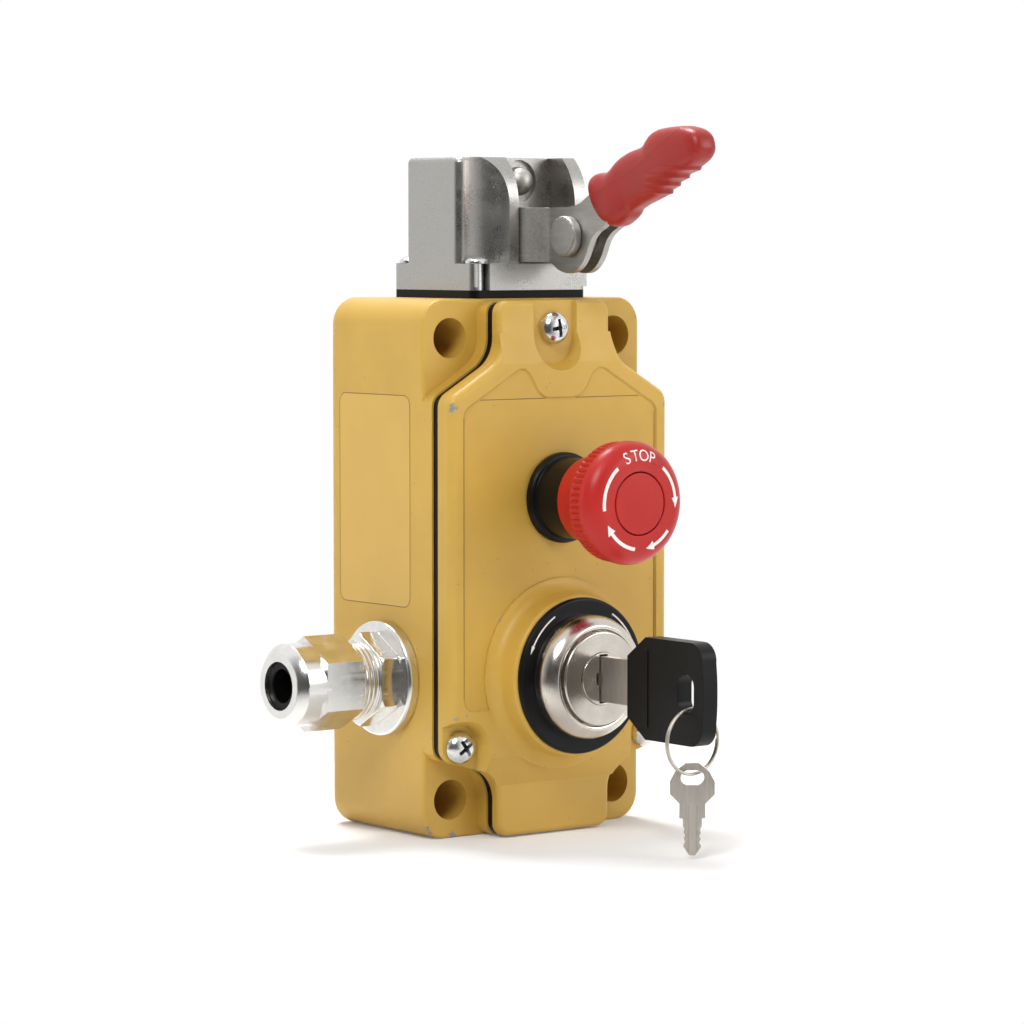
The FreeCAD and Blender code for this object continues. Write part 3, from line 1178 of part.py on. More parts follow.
def contact_block():
    """Main contact block, on two pillars behind the rod."""
    x0, y0 = TONGUE_X - BLOCK_W / 2, ROD_Y - BLOCK_D / 2
    top = BLOCK_Z + BLOCK_H
    body = rounded(box(x0, x0 + BLOCK_W, y0, y0 + BLOCK_D, BLOCK_Z, top), 1.5, along(Z_AXIS))
    cuts = [rod_z(CONTACT_PIN_D + 0.6, TONGUE_X, ROD_Y, top - 8.4, top)]
    cuts += [rod_y(BLOCK_SCREW_D + 0.2, x, z, y0, y0 + BLOCK_D) for x, z in main_block_screws()]
    cuts += [rod_y(TERMINAL_HOLE_D, x, z, y0, y0 + 3) for x, z in terminal_places()]
    return body.cut(Part.makeCompound(cuts))


def terminal_places():
    x, z = TONGUE_X, BLOCK_Z + BLOCK_H / 2
    step, rise = BLOCK_W / 4.6, BLOCK_H / 3.7
    return [(x + (i - 1.5) * step, z + (rise if i < 2 else -rise)) for i in range(4)]


def contact_terminals():
    y0 = ROD_Y - BLOCK_D / 2
    return Part.makeCompound([rod_y(TERMINAL_D, x, z, y0 + 0.8, y0 + 3) for x, z in terminal_places()])


def block_screws():
    """Long screws that hold both contact blocks on their pillars."""
    main = [(x, ROD_Y - BLOCK_D / 2, z, MAIN_SCREW_L) for x, z in main_block_screws()]
    side = [(x, side_block_front(), z, SIDE_SCREW_L) for x, z in side_block_screws()]
    return Part.makeCompound([pan_screw(BLOCK_SCREW_HEAD_D, 2.0, BLOCK_SCREW_D, length, V(x, y, z), -Y_AXIS)
                              for x, y, z, length in main + side])


def rod_spring():
    low = BLOCK_Z + BLOCK_H
    return coil(ROD_COLLAR_D - 1.4, 1.2, ROD_COLLAR_Z - low, 3, V(TONGUE_X, ROD_Y, low), Z_AXIS)


def earth_screw():
    return pan_screw(7.2, 2.6, EARTH_SCREW_D, EARTH_SCREW_L, V(EARTH_X, -HOUSING_WALL, EARTH_Z), -Y_AXIS)


PARTS = {
    "base_housing": base_housing, "cover_gasket": cover_gasket, "front_cover": front_cover,
    "cover_screws": cover_screws, "estop_collar": estop_collar, "estop_mushroom": estop_mushroom,
    "estop_cap": estop_cap, "estop_stem": estop_stem, "estop_nut": estop_nut,
    "estop_contact_block": estop_contact_block, "estop_terminals": estop_terminals,
    "estop_spring": estop_spring, "lock_ring": lock_ring, "lock_bezel": lock_bezel,
    "lock_face": lock_face, "lock_core": lock_core, "lock_cam": lock_cam, "cam_screw": cam_screw,
    "lock_nut": lock_nut, "lock_plunger": lock_plunger, "lock_contact_block": lock_contact_block,
    "key_blade": key_blade, "key_bow": key_bow, "key_ring": key_ring, "spare_key": spare_key,
    "gland_washer": gland_washer, "gland_body": gland_body, "gland_dome_nut": gland_dome_nut,
    "gland_seal": gland_seal, "gland_locknut": gland_locknut, "head_gasket": head_gasket,
    "head_block": head_block, "head_screws": head_screws, "rod_bush": rod_bush,
    "detent_plunger": detent_plunger, "detent_spring": detent_spring, "tongue_bar": tongue_bar,
    "pivot_rivet": pivot_rivet, "lever_plate_left": lambda: lever_plate(-1),
    "lever_plate_right": lambda: lever_plate(1), "lever_grip": lever_grip, "switch_rod": switch_rod,
    "contact_pin": contact_pin, "contact_block": contact_block, "contact_terminals": contact_terminals,
    "block_screws": block_screws, "rod_spring": rod_spring, "earth_screw": earth_screw,
}


def main():
    os.makedirs("parts", exist_ok=True)
    for name, make in PARTS.items():
        shape = make()
        solids = shape.Solids
        if not solids or not all(s.isValid() and s.Volume > 0 for s in solids):
            raise RuntimeError(name + " has no valid solid")
        shape.exportStep("parts/" + name + ".step")
        print(name, len(solids), "solid(s)", round(shape.Volume), "mm3")


main()
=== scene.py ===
"""Tongue interlock switch, dressed for display.

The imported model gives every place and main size.  One operator builds each
piece, or each group of like pieces, and the last ones set the stage.
Metres, +Z up, the wall behind the switch is the plane Y = 0.
"""

import json
import math

import bmesh
import bpy
from mathutils import Matrix, Vector
from mathutils.bvhtree import BVHTree


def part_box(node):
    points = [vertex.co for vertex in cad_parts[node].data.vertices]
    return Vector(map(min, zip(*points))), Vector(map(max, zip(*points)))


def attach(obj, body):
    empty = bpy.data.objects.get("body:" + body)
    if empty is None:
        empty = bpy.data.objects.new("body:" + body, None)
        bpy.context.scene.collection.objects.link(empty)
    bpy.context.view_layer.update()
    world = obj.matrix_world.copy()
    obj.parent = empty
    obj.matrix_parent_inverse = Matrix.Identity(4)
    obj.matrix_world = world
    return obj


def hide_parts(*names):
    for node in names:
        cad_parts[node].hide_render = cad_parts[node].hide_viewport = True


bl_info = {
    "name": "Tongue Interlock Switch",
    "version": (1, 0, 0),
    "blender": (4, 5, 0),
    "location": "3D View > Sidebar > Interlock",
    "description": "Builds the pieces, finishes and stage of a tongue interlock switch",
    "category": "Object",
}

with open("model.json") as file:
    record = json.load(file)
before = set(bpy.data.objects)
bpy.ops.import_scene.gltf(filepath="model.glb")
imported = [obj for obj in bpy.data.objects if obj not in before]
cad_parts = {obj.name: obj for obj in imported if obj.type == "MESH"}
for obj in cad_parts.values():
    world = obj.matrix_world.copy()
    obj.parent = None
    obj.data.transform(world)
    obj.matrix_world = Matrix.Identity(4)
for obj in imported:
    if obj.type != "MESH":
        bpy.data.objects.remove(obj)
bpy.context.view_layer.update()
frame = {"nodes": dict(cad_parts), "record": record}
MM = 0.001


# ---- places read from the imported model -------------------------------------
def low(node):
    return Vector(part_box(node)[0])


def high(node):
    return Vector(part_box(node)[1])


def middle(node):
    return (low(node) + high(node)) / 2


STOP_AXIS = middle("estop_cap")
LOCK_AXIS = middle("lock_bezel")
GLAND_AXIS = middle("gland_washer")
PIVOT = middle("pivot_rivet")
LEFT_X = low("base_housing").x
FLOOR_Z = low("base_housing").z
OUT = Vector((0, -1, 0))
UP = Vector((0, 0, 1))


# ---- sizes and colours that a user would change ----------------------------
def length(name, description, default):
    return bpy.props.FloatProperty(
        name=name, description=description, default=default * MM, min=0, subtype="DISTANCE",
        unit="LENGTH", precision=5)


def colour(name, description, default):
    return bpy.props.FloatVectorProperty(
        name=name, description=description, default=default, min=0, max=1, size=3, subtype="COLOR")


class InterlockSizes(bpy.types.PropertyGroup):
    edge: length("Edge round", "Round on the edges of castings and plates", 0.3)
    fine_edge: length("Fine edge round", "Round on the edges of small pieces", 0.12)
    knob_grips: bpy.props.IntProperty(
        name="Knob grips", description="Grips round the stop button's rim", default=60, min=12)
    grip_depth: length("Grip depth", "Depth of the grooves between the knob's grips", 0.55)
    thread_pitch: length("Thread pitch", "Pitch of the gland's thread", 1.5)
    ring_wire: length("Ring wire", "Thickness of the key ring's wire", 0.86)
    print_width: length("Print width", "Width of the white arcs on the stop button", 1.05)
    label_line: length("Label line", "Width of the thin line round each label", 0.22)


class InterlockColours(bpy.types.PropertyGroup):
    enamel: colour("Enamel", "Paint on the housing and the cover", (0.61, 0.372, 0.058))
    red: colour("Red plastic", "Stop button", (0.475, 0.017, 0.013))
    grip_red: colour("Grip red", "Lever grip", (0.335, 0.021, 0.016))
    black: colour("Black plastic", "Key bow, collar and lock ring", (0.0045, 0.0045, 0.0045))
    rubber: colour("Rubber", "Gaskets and the gland's seal", (0.004, 0.0037, 0.0034))
    casting: colour("Bare casting", "Metal of the head", (0.50, 0.487, 0.462))
    steel: colour("Steel", "Lever plates, tongue and rivet", (0.56, 0.545, 0.51))
    zinc: colour("Zinc plate", "Screws", (0.74, 0.75, 0.75))
    nickel: colour("Nickel", "Lock, keys and ring", (0.66, 0.61, 0.55))
    gland: colour("Plated brass", "Cable gland", (0.82, 0.81, 0.78))
    ink: colour("White ink", "Print on the stop button and the lock ring", (0.86, 0.80, 0.78))


# ---- node trees -------------------------------------------------------------
class Wiring:
    """One node tree; its calls add nodes and hand back their sockets."""

    def __init__(self, tree):
        self.tree = tree

    def fill(self, node, inputs):
        for key, value in inputs.items():
            if isinstance(value, bpy.types.NodeSocket):
                self.tree.links.new(value, node.inputs[key])
            else:
                node.inputs[key].default_value = value

    def node(self, kind, inputs=None, **settings):
        made = self.tree.nodes.new(kind)
        for key, value in settings.items():
            setattr(made, key, value)
        self.fill(made, inputs or {})
        return made

    def maths(self, operation, first, second):
        return self.node("ShaderNodeMath", {0: first, 1: second}, operation=operation).outputs[0]

    def vector(self, operation, first, second=(0, 0, 0)):
        made = self.node("ShaderNodeVectorMath", {0: first, 1: second}, operation=operation)
        return made.outputs["Value" if operation in ("LENGTH", "DISTANCE", "DOT_PRODUCT") else "Vector"]

    def band(self, value, start, end, low_value=0.0, high_value=1.0):
        """One value up to the start, the other from the end on."""
        return self.node("ShaderNodeMapRange", {
            "Value": value, "From Min": start, "From Max": end, "To Min": low_value,
            "To Max": high_value}).outputs["Result"]


class Finish(Wiring):
    """One material, patterned in the object's own coordinates."""

    def __init__(self, name, base, roughness, metallic=0.0, **sockets):
        self.material = bpy.data.materials.new(name)
        self.material.use_nodes = True
        super().__init__(self.material.node_tree)
        self.shader = self.tree.nodes["Principled BSDF"]
        self.base = (*base, 1)
        self.fill(self.shader, {"Base Color": self.base, "Roughness": roughness, "Metallic": metallic})
        self.fill(self.shader, {key.replace("_", " "): value for key, value in sockets.items()})
        self.place = self.node("ShaderNodeTexCoord").outputs["Object"]

    def noise(self, size, detail=3.0, roughness=0.5, place=None, output="Fac"):
        """Noise whose features are about this many metres across."""
        return self.node("ShaderNodeTexNoise", {
            "Vector": place or self.place, "Scale": 1 / size, "Detail": detail,
            "Roughness": roughness}).outputs[output]

    def stretched(self, scale, centre=(0, 0, 0)):
        moved = self.vector("SUBTRACT", self.place, centre)
        return self.vector("MULTIPLY", moved, scale)

    def mix(self, factor, first, second):
        made = self.node("ShaderNodeMix", data_type="RGBA")
        self.fill(made, {0: factor, 6: first, 7: second})
        return made.outputs[2]

    def bump(self, height, strength, depth, below=None):
        inputs = {"Height": height, "Strength": strength, "Distance": depth}
        if below:
            inputs["Normal"] = below
        return self.node("ShaderNodeBump", inputs).outputs["Normal"]

    def shaded(self, factor, share):
        """The base colour, darker by a share where the factor is 0."""
        return self.mix(factor, tuple(c * share for c in self.base[:3]) + (1,), self.base)

    def shade(self, factor, share):
        self.fill(self.shader, {"Base Color": self.shaded(factor, share)})

    def surface(self, roughness, normal):
        """Vary the roughness and the normal, both from sockets."""
        self.fill(self.shader, {"Roughness": roughness, "Normal": normal})
        return self

    def edges(self, reach):
        """1 along sharp edges, 0 on flats."""
        round_normal = self.node("ShaderNodeBevel", {"Radius": reach}, samples=4).outputs["Normal"]
        true_normal = self.node("ShaderNodeNewGeometry").outputs["Normal"]
        return self.band(self.vector("DOT_PRODUCT", round_normal, true_normal), 0.985, 0.90)


def colours():
    return bpy.context.scene.interlock_colours


# ---- procedural finishes ----------------------------------------------------
CHIPS = (  # bare spots of the paint: node, corner shares of its box, radius in mm
    ("base_housing", (0.035, 0.004, 0.985), 1.6), ("base_housing", (0.012, 0.02, 0.955), 1.2),
    ("base_housing", (0.13, 0.085, 0.004), 1.3), ("base_housing", (0.03, 0.10, 0.006), 1.5),
    ("base_housing", (0.985, 0.085, 0.97), 0.8), ("base_housing", (0.02, 0.085, 0.02), 0.9),
    ("front_cover", (0.012, 0.59, 0.805), 1.35), ("front_cover", (0.33, 0.59, 0.012), 1.5),
    ("front_cover", (0.245, 0.60, 0.118), 1.0), ("front_cover", (0.02, 0.56, 0.235), 0.7),
    ("front_cover", (0.07, 0.56, 0.236), 0.6), ("front_cover", (0.985, 0.56, 0.80), 0.9))


def enamel(name):
    """Semi-gloss paint: mottled, pitted, rubbed and chipped along its edges."""
    made = Finish(name, colours().enamel, 0.4, Coat_Weight=0.12, Coat_Roughness=0.22)
    cells = made.node("ShaderNodeTexVoronoi", {"Vector": made.place, "Scale": 210, "Randomness": 1.0})
    pitted = made.band(cells.outputs["Distance"], 0.030, 0.048)
    mottled = made.shaded(made.band(made.noise(0.028, 4), 0.25, 0.72), 0.88)
    tone = made.mix(pitted, (0.24, 0.15, 0.05, 1), mottled)
    ragged = made.vector("SUBTRACT", made.noise(1 / 1100, 4, output="Color"), (0.5, 0.5, 0.5))
    place = made.vector("ADD", made.place, made.vector("MULTIPLY", ragged, (0.0042, 0.0042, 0.0042)))
    worn = made.maths("MULTIPLY", made.edges(0.0009), made.band(made.noise(0.009, 6, 0.65), 0.64, 0.67))
    for node, shares, radius in CHIPS:
        size = high(node) - low(node)
        spot = [low(node)[i] + size[i] * shares[i] for i in range(3)]
        away = made.vector("DISTANCE", place, spot)
        worn = made.maths("MAXIMUM", worn, made.band(away, radius * MM, radius * MM * 0.85))
    bare = made.mix(made.noise(0.0005, 2), (0.10, 0.10, 0.10, 1), (0.42, 0.41, 0.40, 1))
    made.fill(made.shader, {"Base Color": made.mix(worn, tone, bare)})
    peel = made.bump(made.noise(0.0012, 3), 0.16, 0.00008)
    return made.surface(made.band(made.noise(0.006, 5), -0.9, 1.9),
                        made.bump(made.maths("SUBTRACT", 1.0, worn), 0.5, 0.0001, peel))


def casting(name):
    """Tumbled die-cast metal: fine grain, small pits, soft stains."""
    made = Finish(name, colours().casting, 0.36, 1.0)
    stain, grain = made.noise(0.009, 5, 0.6), made.noise(0.00030, 4, 0.75)
    made.shade(made.band(made.maths("ADD", made.maths("MULTIPLY", stain, 0.3), grain), 0.44, 0.80), 0.70)
    pits = made.band(made.noise(0.0013, 2), 0.30, 0.38)
    return made.surface(made.band(made.maths("ADD", grain, stain), 0.25, 2.6),
                        made.bump(pits, 0.35, 0.00006, made.bump(grain, 0.34, 0.00013)))


def steel(name):
    """Tumbled sheet steel with a warm tint low on the plates."""
    made = Finish(name, colours().steel, 0.34, 1.0)
    scratches = made.noise(0.0007, 5, 0.7, made.stretched((1, 0.10, 1)))
    height = made.node("ShaderNodeSeparateXYZ", {"Vector": made.place}).outputs["Z"]
    warm = made.maths("MULTIPLY", made.band(height, PIVOT.z - 0.0095, PIVOT.z - 0.0115),
                      made.band(made.noise(0.004, 3), 0.35, 0.6))
    tone = made.shaded(made.band(scratches, 0.3, 0.7), 0.72)
    made.fill(made.shader, {"Base Color": made.mix(warm, tone, (0.60, 0.44, 0.20, 1))})
    return made.surface(made.band(scratches, -0.9, 2.0), made.bump(scratches, 0.14, 0.00006))


def bright_screw(name):
    """Bright zinc plate with handling marks."""
    made = Finish(name, colours().zinc, 0.2, 1.0)
    marks = made.noise(0.0016, 4, 0.6)
    made.shade(made.band(marks, 0.30, 0.50), 0.80)
    return made.surface(made.band(marks, -0.3, 3.4), made.bump(marks, 0.05, 0.00006))


def turned_metal(name, base, centre, across, roughness):
    """Plated metal with fine turning marks round an axis; across is 1 square to it."""
    made = Finish(name, base, roughness, 1.0)
    radius = made.vector("LENGTH", made.stretched(across, centre))
    line = made.node("ShaderNodeCombineXYZ", {"X": radius}).outputs["Vector"]
    marks, cloud = made.noise(0.00022, 3, 0.6, line), made.noise(0.005, 4)
    made.shade(made.band(cloud, 0.2, 0.65), 0.86)
    return made.surface(made.band(made.maths("ADD", marks, cloud), 1.0 - 3.4 * roughness, 3.9),
                        made.bump(marks, 0.10, 0.00004))


def gland_metal(name):
    return turned_metal(name, colours().gland, GLAND_AXIS, (0, 1, 1), 0.24)


def lock_metal(name):
    return turned_metal(name, colours().nickel, LOCK_AXIS, (1, 0, 1), 0.26)


def key_metal(name):
    """Stamped and nickelled, with fine straight grain."""
    made = Finish(name, colours().nickel, 0.3, 1.0)
    grain = made.noise(0.0006, 5, 0.65, made.stretched((1, 1, 0.08)))
    made.shade(made.band(grain, 0.3, 0.7), 0.82)
    return made.surface(made.band(grain, -0.8, 2.4), made.bump(grain, 0.12, 0.00005))


def moulded(name, base, roughness, grain_size, grain_depth, gloss=0.5):
    """Moulded plastic or rubber: fine spark grain and faint flow marks."""
    made = Finish(name, base, roughness, Specular_IOR_Level=gloss)
    flow = made.noise(0.012, 4)
    made.shade(made.band(flow, 0.2, 0.7), 0.87)
    return made.surface(made.band(flow, -1.6 * roughness, 2.2 + roughness),
                        made.bump(made.noise(grain_size, 3, 0.6), 0.2, grain_depth))


def red_plastic(name):
    return moulded(name, colours().red, 0.36, 0.0006, 0.00004, 0.34)


def red_grip(name):
    return moulded(name, colours().grip_red, 0.38, 0.0011, 0.00006, 0.36)


def black_plastic(name):
    return moulded(name, colours().black, 0.46, 0.0005, 0.00012, 0.2)


def rubber(name):
    return moulded(name, colours().rubber, 0.68, 0.0008, 0.00010, 0.16)


def pale_plastic(name):
    return moulded(name, (0.78, 0.77, 0.72), 0.45, 0.0007, 0.00004)


def ink(name):
    """Thin printed ink, a little worn."""
    made = Finish(name, colours().ink, 0.55)
    made.shade(made.band(made.noise(0.0009, 4), 0.28, 0.46), 0.80)
    return made


def label_ink(name):
    """The fine darker line round a label."""
    made = Finish(name, (0.20, 0.125, 0.03), 0.6)
    made.shade(made.band(made.noise(0.002, 3), 0.3, 0.6), 0.72)
    return made


def label_film(name):
    """Clear film over the paint, smoother than the paint round it."""
    made = Finish(name, tuple(c * 1.03 for c in colours().enamel), 0.3, Coat_Weight=0.3, Coat_Roughness=0.1)
    made.shade(made.band(made.noise(0.02, 4), 0.2, 0.75), 0.93)
    made.fill(made.shader, {"Normal": made.bump(made.noise(0.0024, 3), 0.08, 0.00006)})
    return made


def bronze(name):
    """Sintered bush metal."""
    made = Finish(name, (0.55, 0.36, 0.15), 0.4, 1.0)
    made.shade(made.band(made.noise(0.0008, 3), 0.3, 0.6), 0.75)
    return made


FINISHES = {  # what makes each finish, and the material slot that it belongs to
    "enamel": (enamel, "yellow_paint"), "bare_casting": (casting, "cast_zinc"),
    "tumbled_steel": (steel, "steel_plate"), "bright_zinc": (bright_screw, "zinc_screw"),
    "plated_gland": (gland_metal, "plated_gland"), "turned_nickel": (lock_metal, "nickel"),
    "key_nickel": (key_metal, "nickel"), "red_plastic": (red_plastic, "red_plastic"),
    "red_grip": (red_grip, "red_plastic"), "black_plastic": (black_plastic, "black_plastic"),
    "rubber": (rubber, "black_rubber"), "pale_plastic": (pale_plastic, "white_plastic"),
    "white_ink": (ink, "red_plastic"), "label_ink": (label_ink, "yellow_paint"),
    "label_film": (label_film, "yellow_paint"), "bronze": (bronze, "bronze")}


def material(name):
    """A finish, made once and then shared."""
    made_name = "finish_" + name
    return bpy.data.materials.get(made_name) or FINISHES[name][0](made_name).material


# ---- meshes and pieces ------------------------------------------------------
def body_of(node):
    for body, nodes in frame["record"]["behaviour"]["bodies"].items():
        if node in nodes:
            return body
    raise RuntimeError(f"no body holds {node}")


def placed(name, data):
    """An object at the origin of the scene."""
    made = bpy.data.objects.new(name, data)
    bpy.context.scene.collection.objects.link(made)
    return made


def piece(name, mesh, finish_name, body, replaced=()):
    """Put a mesh in the scene as one piece that moves with a body."""
    made = placed(name, mesh)
    mesh.materials.clear()
    mesh.materials.append(material(finish_name))
    if replaced:
        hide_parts(*replaced)
    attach(made, body)
    return made


def raw_mesh(name, vertices, faces):
    mesh = bpy.data.meshes.new(name)
    mesh.from_pydata([tuple(v) for v in vertices], [], faces)
    return mesh


def baked(holder, name):
    """An object's shape with its modifiers, as a plain mesh."""
    graph = bpy.context.evaluated_depsgraph_get()
    mesh = bpy.data.meshes.new_from_object(holder.evaluated_get(graph), depsgraph=graph)
    mesh.name = name
    return mesh


def edited(source, *changes, name=None):
    """Run changes on a mesh, in place or as a new one if it gets a name."""
    work = bmesh.new()
    work.from_mesh(source)
    for change in changes:
        change(work)
    mesh = bpy.data.meshes.new(name) if name else source
    work.to_mesh(mesh)
    work.free()
    return mesh


def merge(work):
    bmesh.ops.remove_doubles(work, verts=work.verts, dist=2e-6)


def turn_outwards(work):
    bmesh.ops.recalc_face_normals(work, faces=work.faces)


def drop_slivers(work):
    bmesh.ops.dissolve_degenerate(work, edges=work.edges, dist=1e-6)


def join_flats(work):
    bmesh.ops.dissolve_limit(work, angle_limit=math.radians(0.4), use_dissolve_boundaries=False,
                             verts=work.verts, edges=work.edges)


def smoothed(mesh, sharp_angle):
    mesh.shade_smooth()
    mesh.set_sharp_from_angle(angle=math.radians(sharp_angle))
    return mesh


def settled(mesh, sharp_angle=30):
    return smoothed(edited(mesh, merge, turn_outwards), sharp_angle)


def mesh_of(name, vertices, faces, sharp_angle=35):
    mesh = raw_mesh(name, vertices, faces)
    mesh.validate()
    return settled(mesh, sharp_angle)


def clean_copy(node, name):
    """A merged copy of a CAD node's mesh, without its slivers."""
    return smoothed(edited(frame["nodes"][node].data, merge, drop_slivers, name=name), 32)


def weighted(made):
    """Even out the shading where flats meet rounds."""
    even = made.modifiers.new("even_shading", "WEIGHTED_NORMAL")
    even.keep_sharp = True
    even.weight = 80
    return made


def beveled(made, width, steps=2, angle=38):
    """A small round on every sharp edge, so that edges catch the light."""
    edge = made.modifiers.new("edge_round", "BEVEL")
    edge.width = width
    edge.segments = steps
    edge.limit_method = "ANGLE"
    edge.angle_limit = math.radians(angle)
    edge.use_clamp_overlap = True
    edge.harden_normals = False
    return weighted(made)


def flattened(node, name):
    """A clean copy whose flat faces are single faces, ready for a bevel."""
    return smoothed(edited(clean_copy(node, name), join_flats), 32)


def dressed(node, name, finish_name, edge=0.0):
    """A piece made from a CAD node's own shape, with rounded edges if wanted."""
    mesh = flattened(node, name) if edge else clean_copy(node, name)
    made = piece(name, mesh, finish_name, body_of(node), (node,))
    return beveled(made, edge) if edge else weighted(made)


def arc(start, mid, end, steps):
    """Points on the circle through three 2-D points, without the first one."""
    (ax, ay), (bx, by), (cx, cy) = start, mid, end
    d = 2 * (ax * (by - cy) + bx * (cy - ay) + cx * (ay - by))
    ux = ((ax * ax + ay * ay) * (by - cy) + (bx * bx + by * by) * (cy - ay)
          + (cx * cx + cy * cy) * (ay - by)) / d
    uy = ((ax * ax + ay * ay) * (cx - bx) + (bx * bx + by * by) * (ax - cx)
          + (cx * cx + cy * cy) * (bx - ax)) / d
    radius = math.hypot(ax - ux, ay - uy)
    first, via, last = (math.atan2(y - uy, x - ux) for x, y in (start, mid, end))
    turn = (last - first) % (2 * math.pi)
    if (via - first) % (2 * math.pi) > turn:
        turn -= 2 * math.pi
    angles = [first + turn * i / steps for i in range(1, steps + 1)]
    return [(ux + radius * math.cos(a), uy + radius * math.sin(a)) for a in angles]


def smooth_profile(points, steps=8):
    """Turn (r, h) points and (mid_r, mid_h, r, h) arcs into a fine profile in metres."""
    made = [points[0]]
    for point in points[1:]:
        made += arc(made[-1], point[:2], point[2:], steps) if len(point) == 4 else [point]
    return [(r * MM, h * MM) for r, h in made]


def basis(axis):
    """Two directions square to an axis, so that the three are right-handed."""
    across = Vector((1, 0, 0)) if abs(axis.x) < 0.9 else Vector((0, 1, 0))
    first = (across - axis * across.dot(axis)).normalized()
    return first, axis.cross(first)


def wrapped(rings, steps, closed=False):
    """Quads that join rings of points, each ring going right round."""
    faces = []
    for ring in range(rings if closed else rings - 1):
        here, there = ring * steps, (ring + 1) % rings * steps
        for i in range(steps):
            j = (i + 1) % steps
            faces.append((here + i, here + j, there + j, there + i))
    return faces


def lathe(name, profile, centre, axis, steps=128, reach=None, closed=True):
    """Mesh of revolution; reach may change a radius with height and angle."""
    first, second = basis(axis)
    vertices = []
    for r, h in profile:
        for i in range(steps):
            angle = 2 * math.pi * i / steps
            spoke = first * math.cos(angle) + second * math.sin(angle)
            vertices.append(centre + axis * h + spoke * (reach(r, h, angle) if reach else r))
    return mesh_of(name, vertices, wrapped(len(profile), steps, closed))


def on_front(axis_point):
    """The foot of a piece's axis in the wall plane, heights counted outwards."""
    return Vector((axis_point.x, 0, axis_point.z))


# ---- geometry node trees ----------------------------------------------------
class Weave(Wiring):
    """One geometry node tree with named inputs."""

    def __init__(self, name):
        super().__init__(bpy.data.node_groups.new(name, "GeometryNodeTree"))
        for way in ("INPUT", "OUTPUT"):
            self.tree.interface.new_socket("Geometry", in_out=way, socket_type="NodeSocketGeometry")
        self.start = self.tree.nodes.new("NodeGroupInput")
        self.end = self.tree.nodes.new("NodeGroupOutput")

    def input(self, name, kind):
        self.tree.interface.new_socket(name, in_out="INPUT", socket_type="NodeSocket" + kind)
        return self.start.outputs[name]

    def made(self, kind, output, inputs, **settings):
        """Add a node and hand back one of its sockets."""
        return self.node(kind, inputs, **settings).outputs[output]

    def round_bar(self, path, radius, steps, caps=False):
        """A round section swept along a curve."""
        section = self.made("GeometryNodeCurvePrimitiveCircle", "Curve", {
            "Resolution": steps, "Radius": radius})
        return self.made("GeometryNodeCurveToMesh", "Mesh", {
            "Curve": path, "Profile Curve": section, "Fill Caps": caps})

    def finish(self, geometry, finish_name):
        """End in real geometry with its material set."""
        real = self.made("GeometryNodeRealizeInstances", "Geometry", {"Geometry": geometry})
        coated = self.made("GeometryNodeSetMaterial", "Geometry", {
            "Geometry": real, "Material": material(finish_name)})
        self.tree.links.new(coated, self.end.inputs[0])
        return self.tree


def grown(name, tree, values, base=None):
    """Run a tree on a base mesh and hand back the plain mesh it makes."""
    holder = placed(name + "_holder", base or bpy.data.meshes.new(name + "_base"))
    modifier = holder.modifiers.new("grow", "NODES")
    modifier.node_group = tree
    sockets = {item.name: item.identifier for item in tree.interface.items_tree
               if item.item_type == "SOCKET" and item.in_out == "INPUT"}
    for key, value in values.items():
        modifier[sockets[key]] = value
    mesh = baked(holder, name)
    holder.modifiers.remove(modifier)
    bpy.data.objects.remove(holder)
    if not mesh.vertices:
        raise RuntimeError(f"the node tree made nothing for {name}")
    return smoothed(mesh, 35)


def copies_tree(finish_name):
    """One shape on every point, turned by the point's own rotation."""
    weave = Weave("copies_of_" + finish_name)
    shape = weave.made("GeometryNodeObjectInfo", "Geometry", {"Object": weave.input("Shape", "Object")})
    turn = weave.made("GeometryNodeInputNamedAttribute", "Attribute", {"Name": "turn"},
                      data_type="FLOAT_VECTOR")
    rotation = weave.made("FunctionNodeEulerToRotation", "Rotation", {"Euler": turn})
    copied = weave.made("GeometryNodeInstanceOnPoints", "Instances", {
        "Points": weave.start.outputs["Geometry"], "Instance": shape, "Rotation": rotation})
    return weave.finish(copied, finish_name)


def copies(name, shape_mesh, places, finish_name):
    """One mesh of like shapes; each place is a point and a rotation matrix."""
    points = raw_mesh(name + "_points", [p for p, _ in places], [])
    turn = points.attributes.new("turn", "FLOAT_VECTOR", "POINT")
    for i, (_, rotation) in enumerate(places):
        turn.data[i].vector = rotation.to_euler()
    shape = placed(name + "_shape", shape_mesh)
    mesh = grown(name, copies_tree(finish_name), {"Shape": shape}, points)
    bpy.data.objects.remove(shape)
    return mesh


def facing(direction, spin=0.0):
    """Rotation that carries +Z to a direction, after a spin about +Z."""
    return (direction.to_track_quat("Z", "Y").to_matrix() @ Matrix.Rotation(spin, 3, "Z")).to_4x4()


def carved(name, mesh, cutters):
    """The mesh less each cutter, as a plain mesh."""
    made = placed(name, mesh)
    tools = [placed(f"{name}_cutter{i}", cutter) for i, cutter in enumerate(cutters)]
    for tool in tools:
        cut = made.modifiers.new("cut", "BOOLEAN")
        cut.operation, cut.solver, cut.object = "DIFFERENCE", "EXACT", tool
    result = baked(made, name)
    for leftover in [made] + tools:
        bpy.data.objects.remove(leftover)
    return settled(result)


def block(corner, opposite):
    """Box mesh between two corners in millimetres, for a cutter."""
    xs, ys, zs = zip(Vector(corner) * MM, Vector(opposite) * MM)
    vertices = [(x, y, z) for z in zs for y in ys for x in xs]
    faces = [(0, 2, 3, 1), (4, 5, 7, 6), (0, 1, 5, 4), (2, 6, 7, 3), (0, 4, 6, 2), (1, 3, 7, 5)]
    return mesh_of("block", vertices, faces)


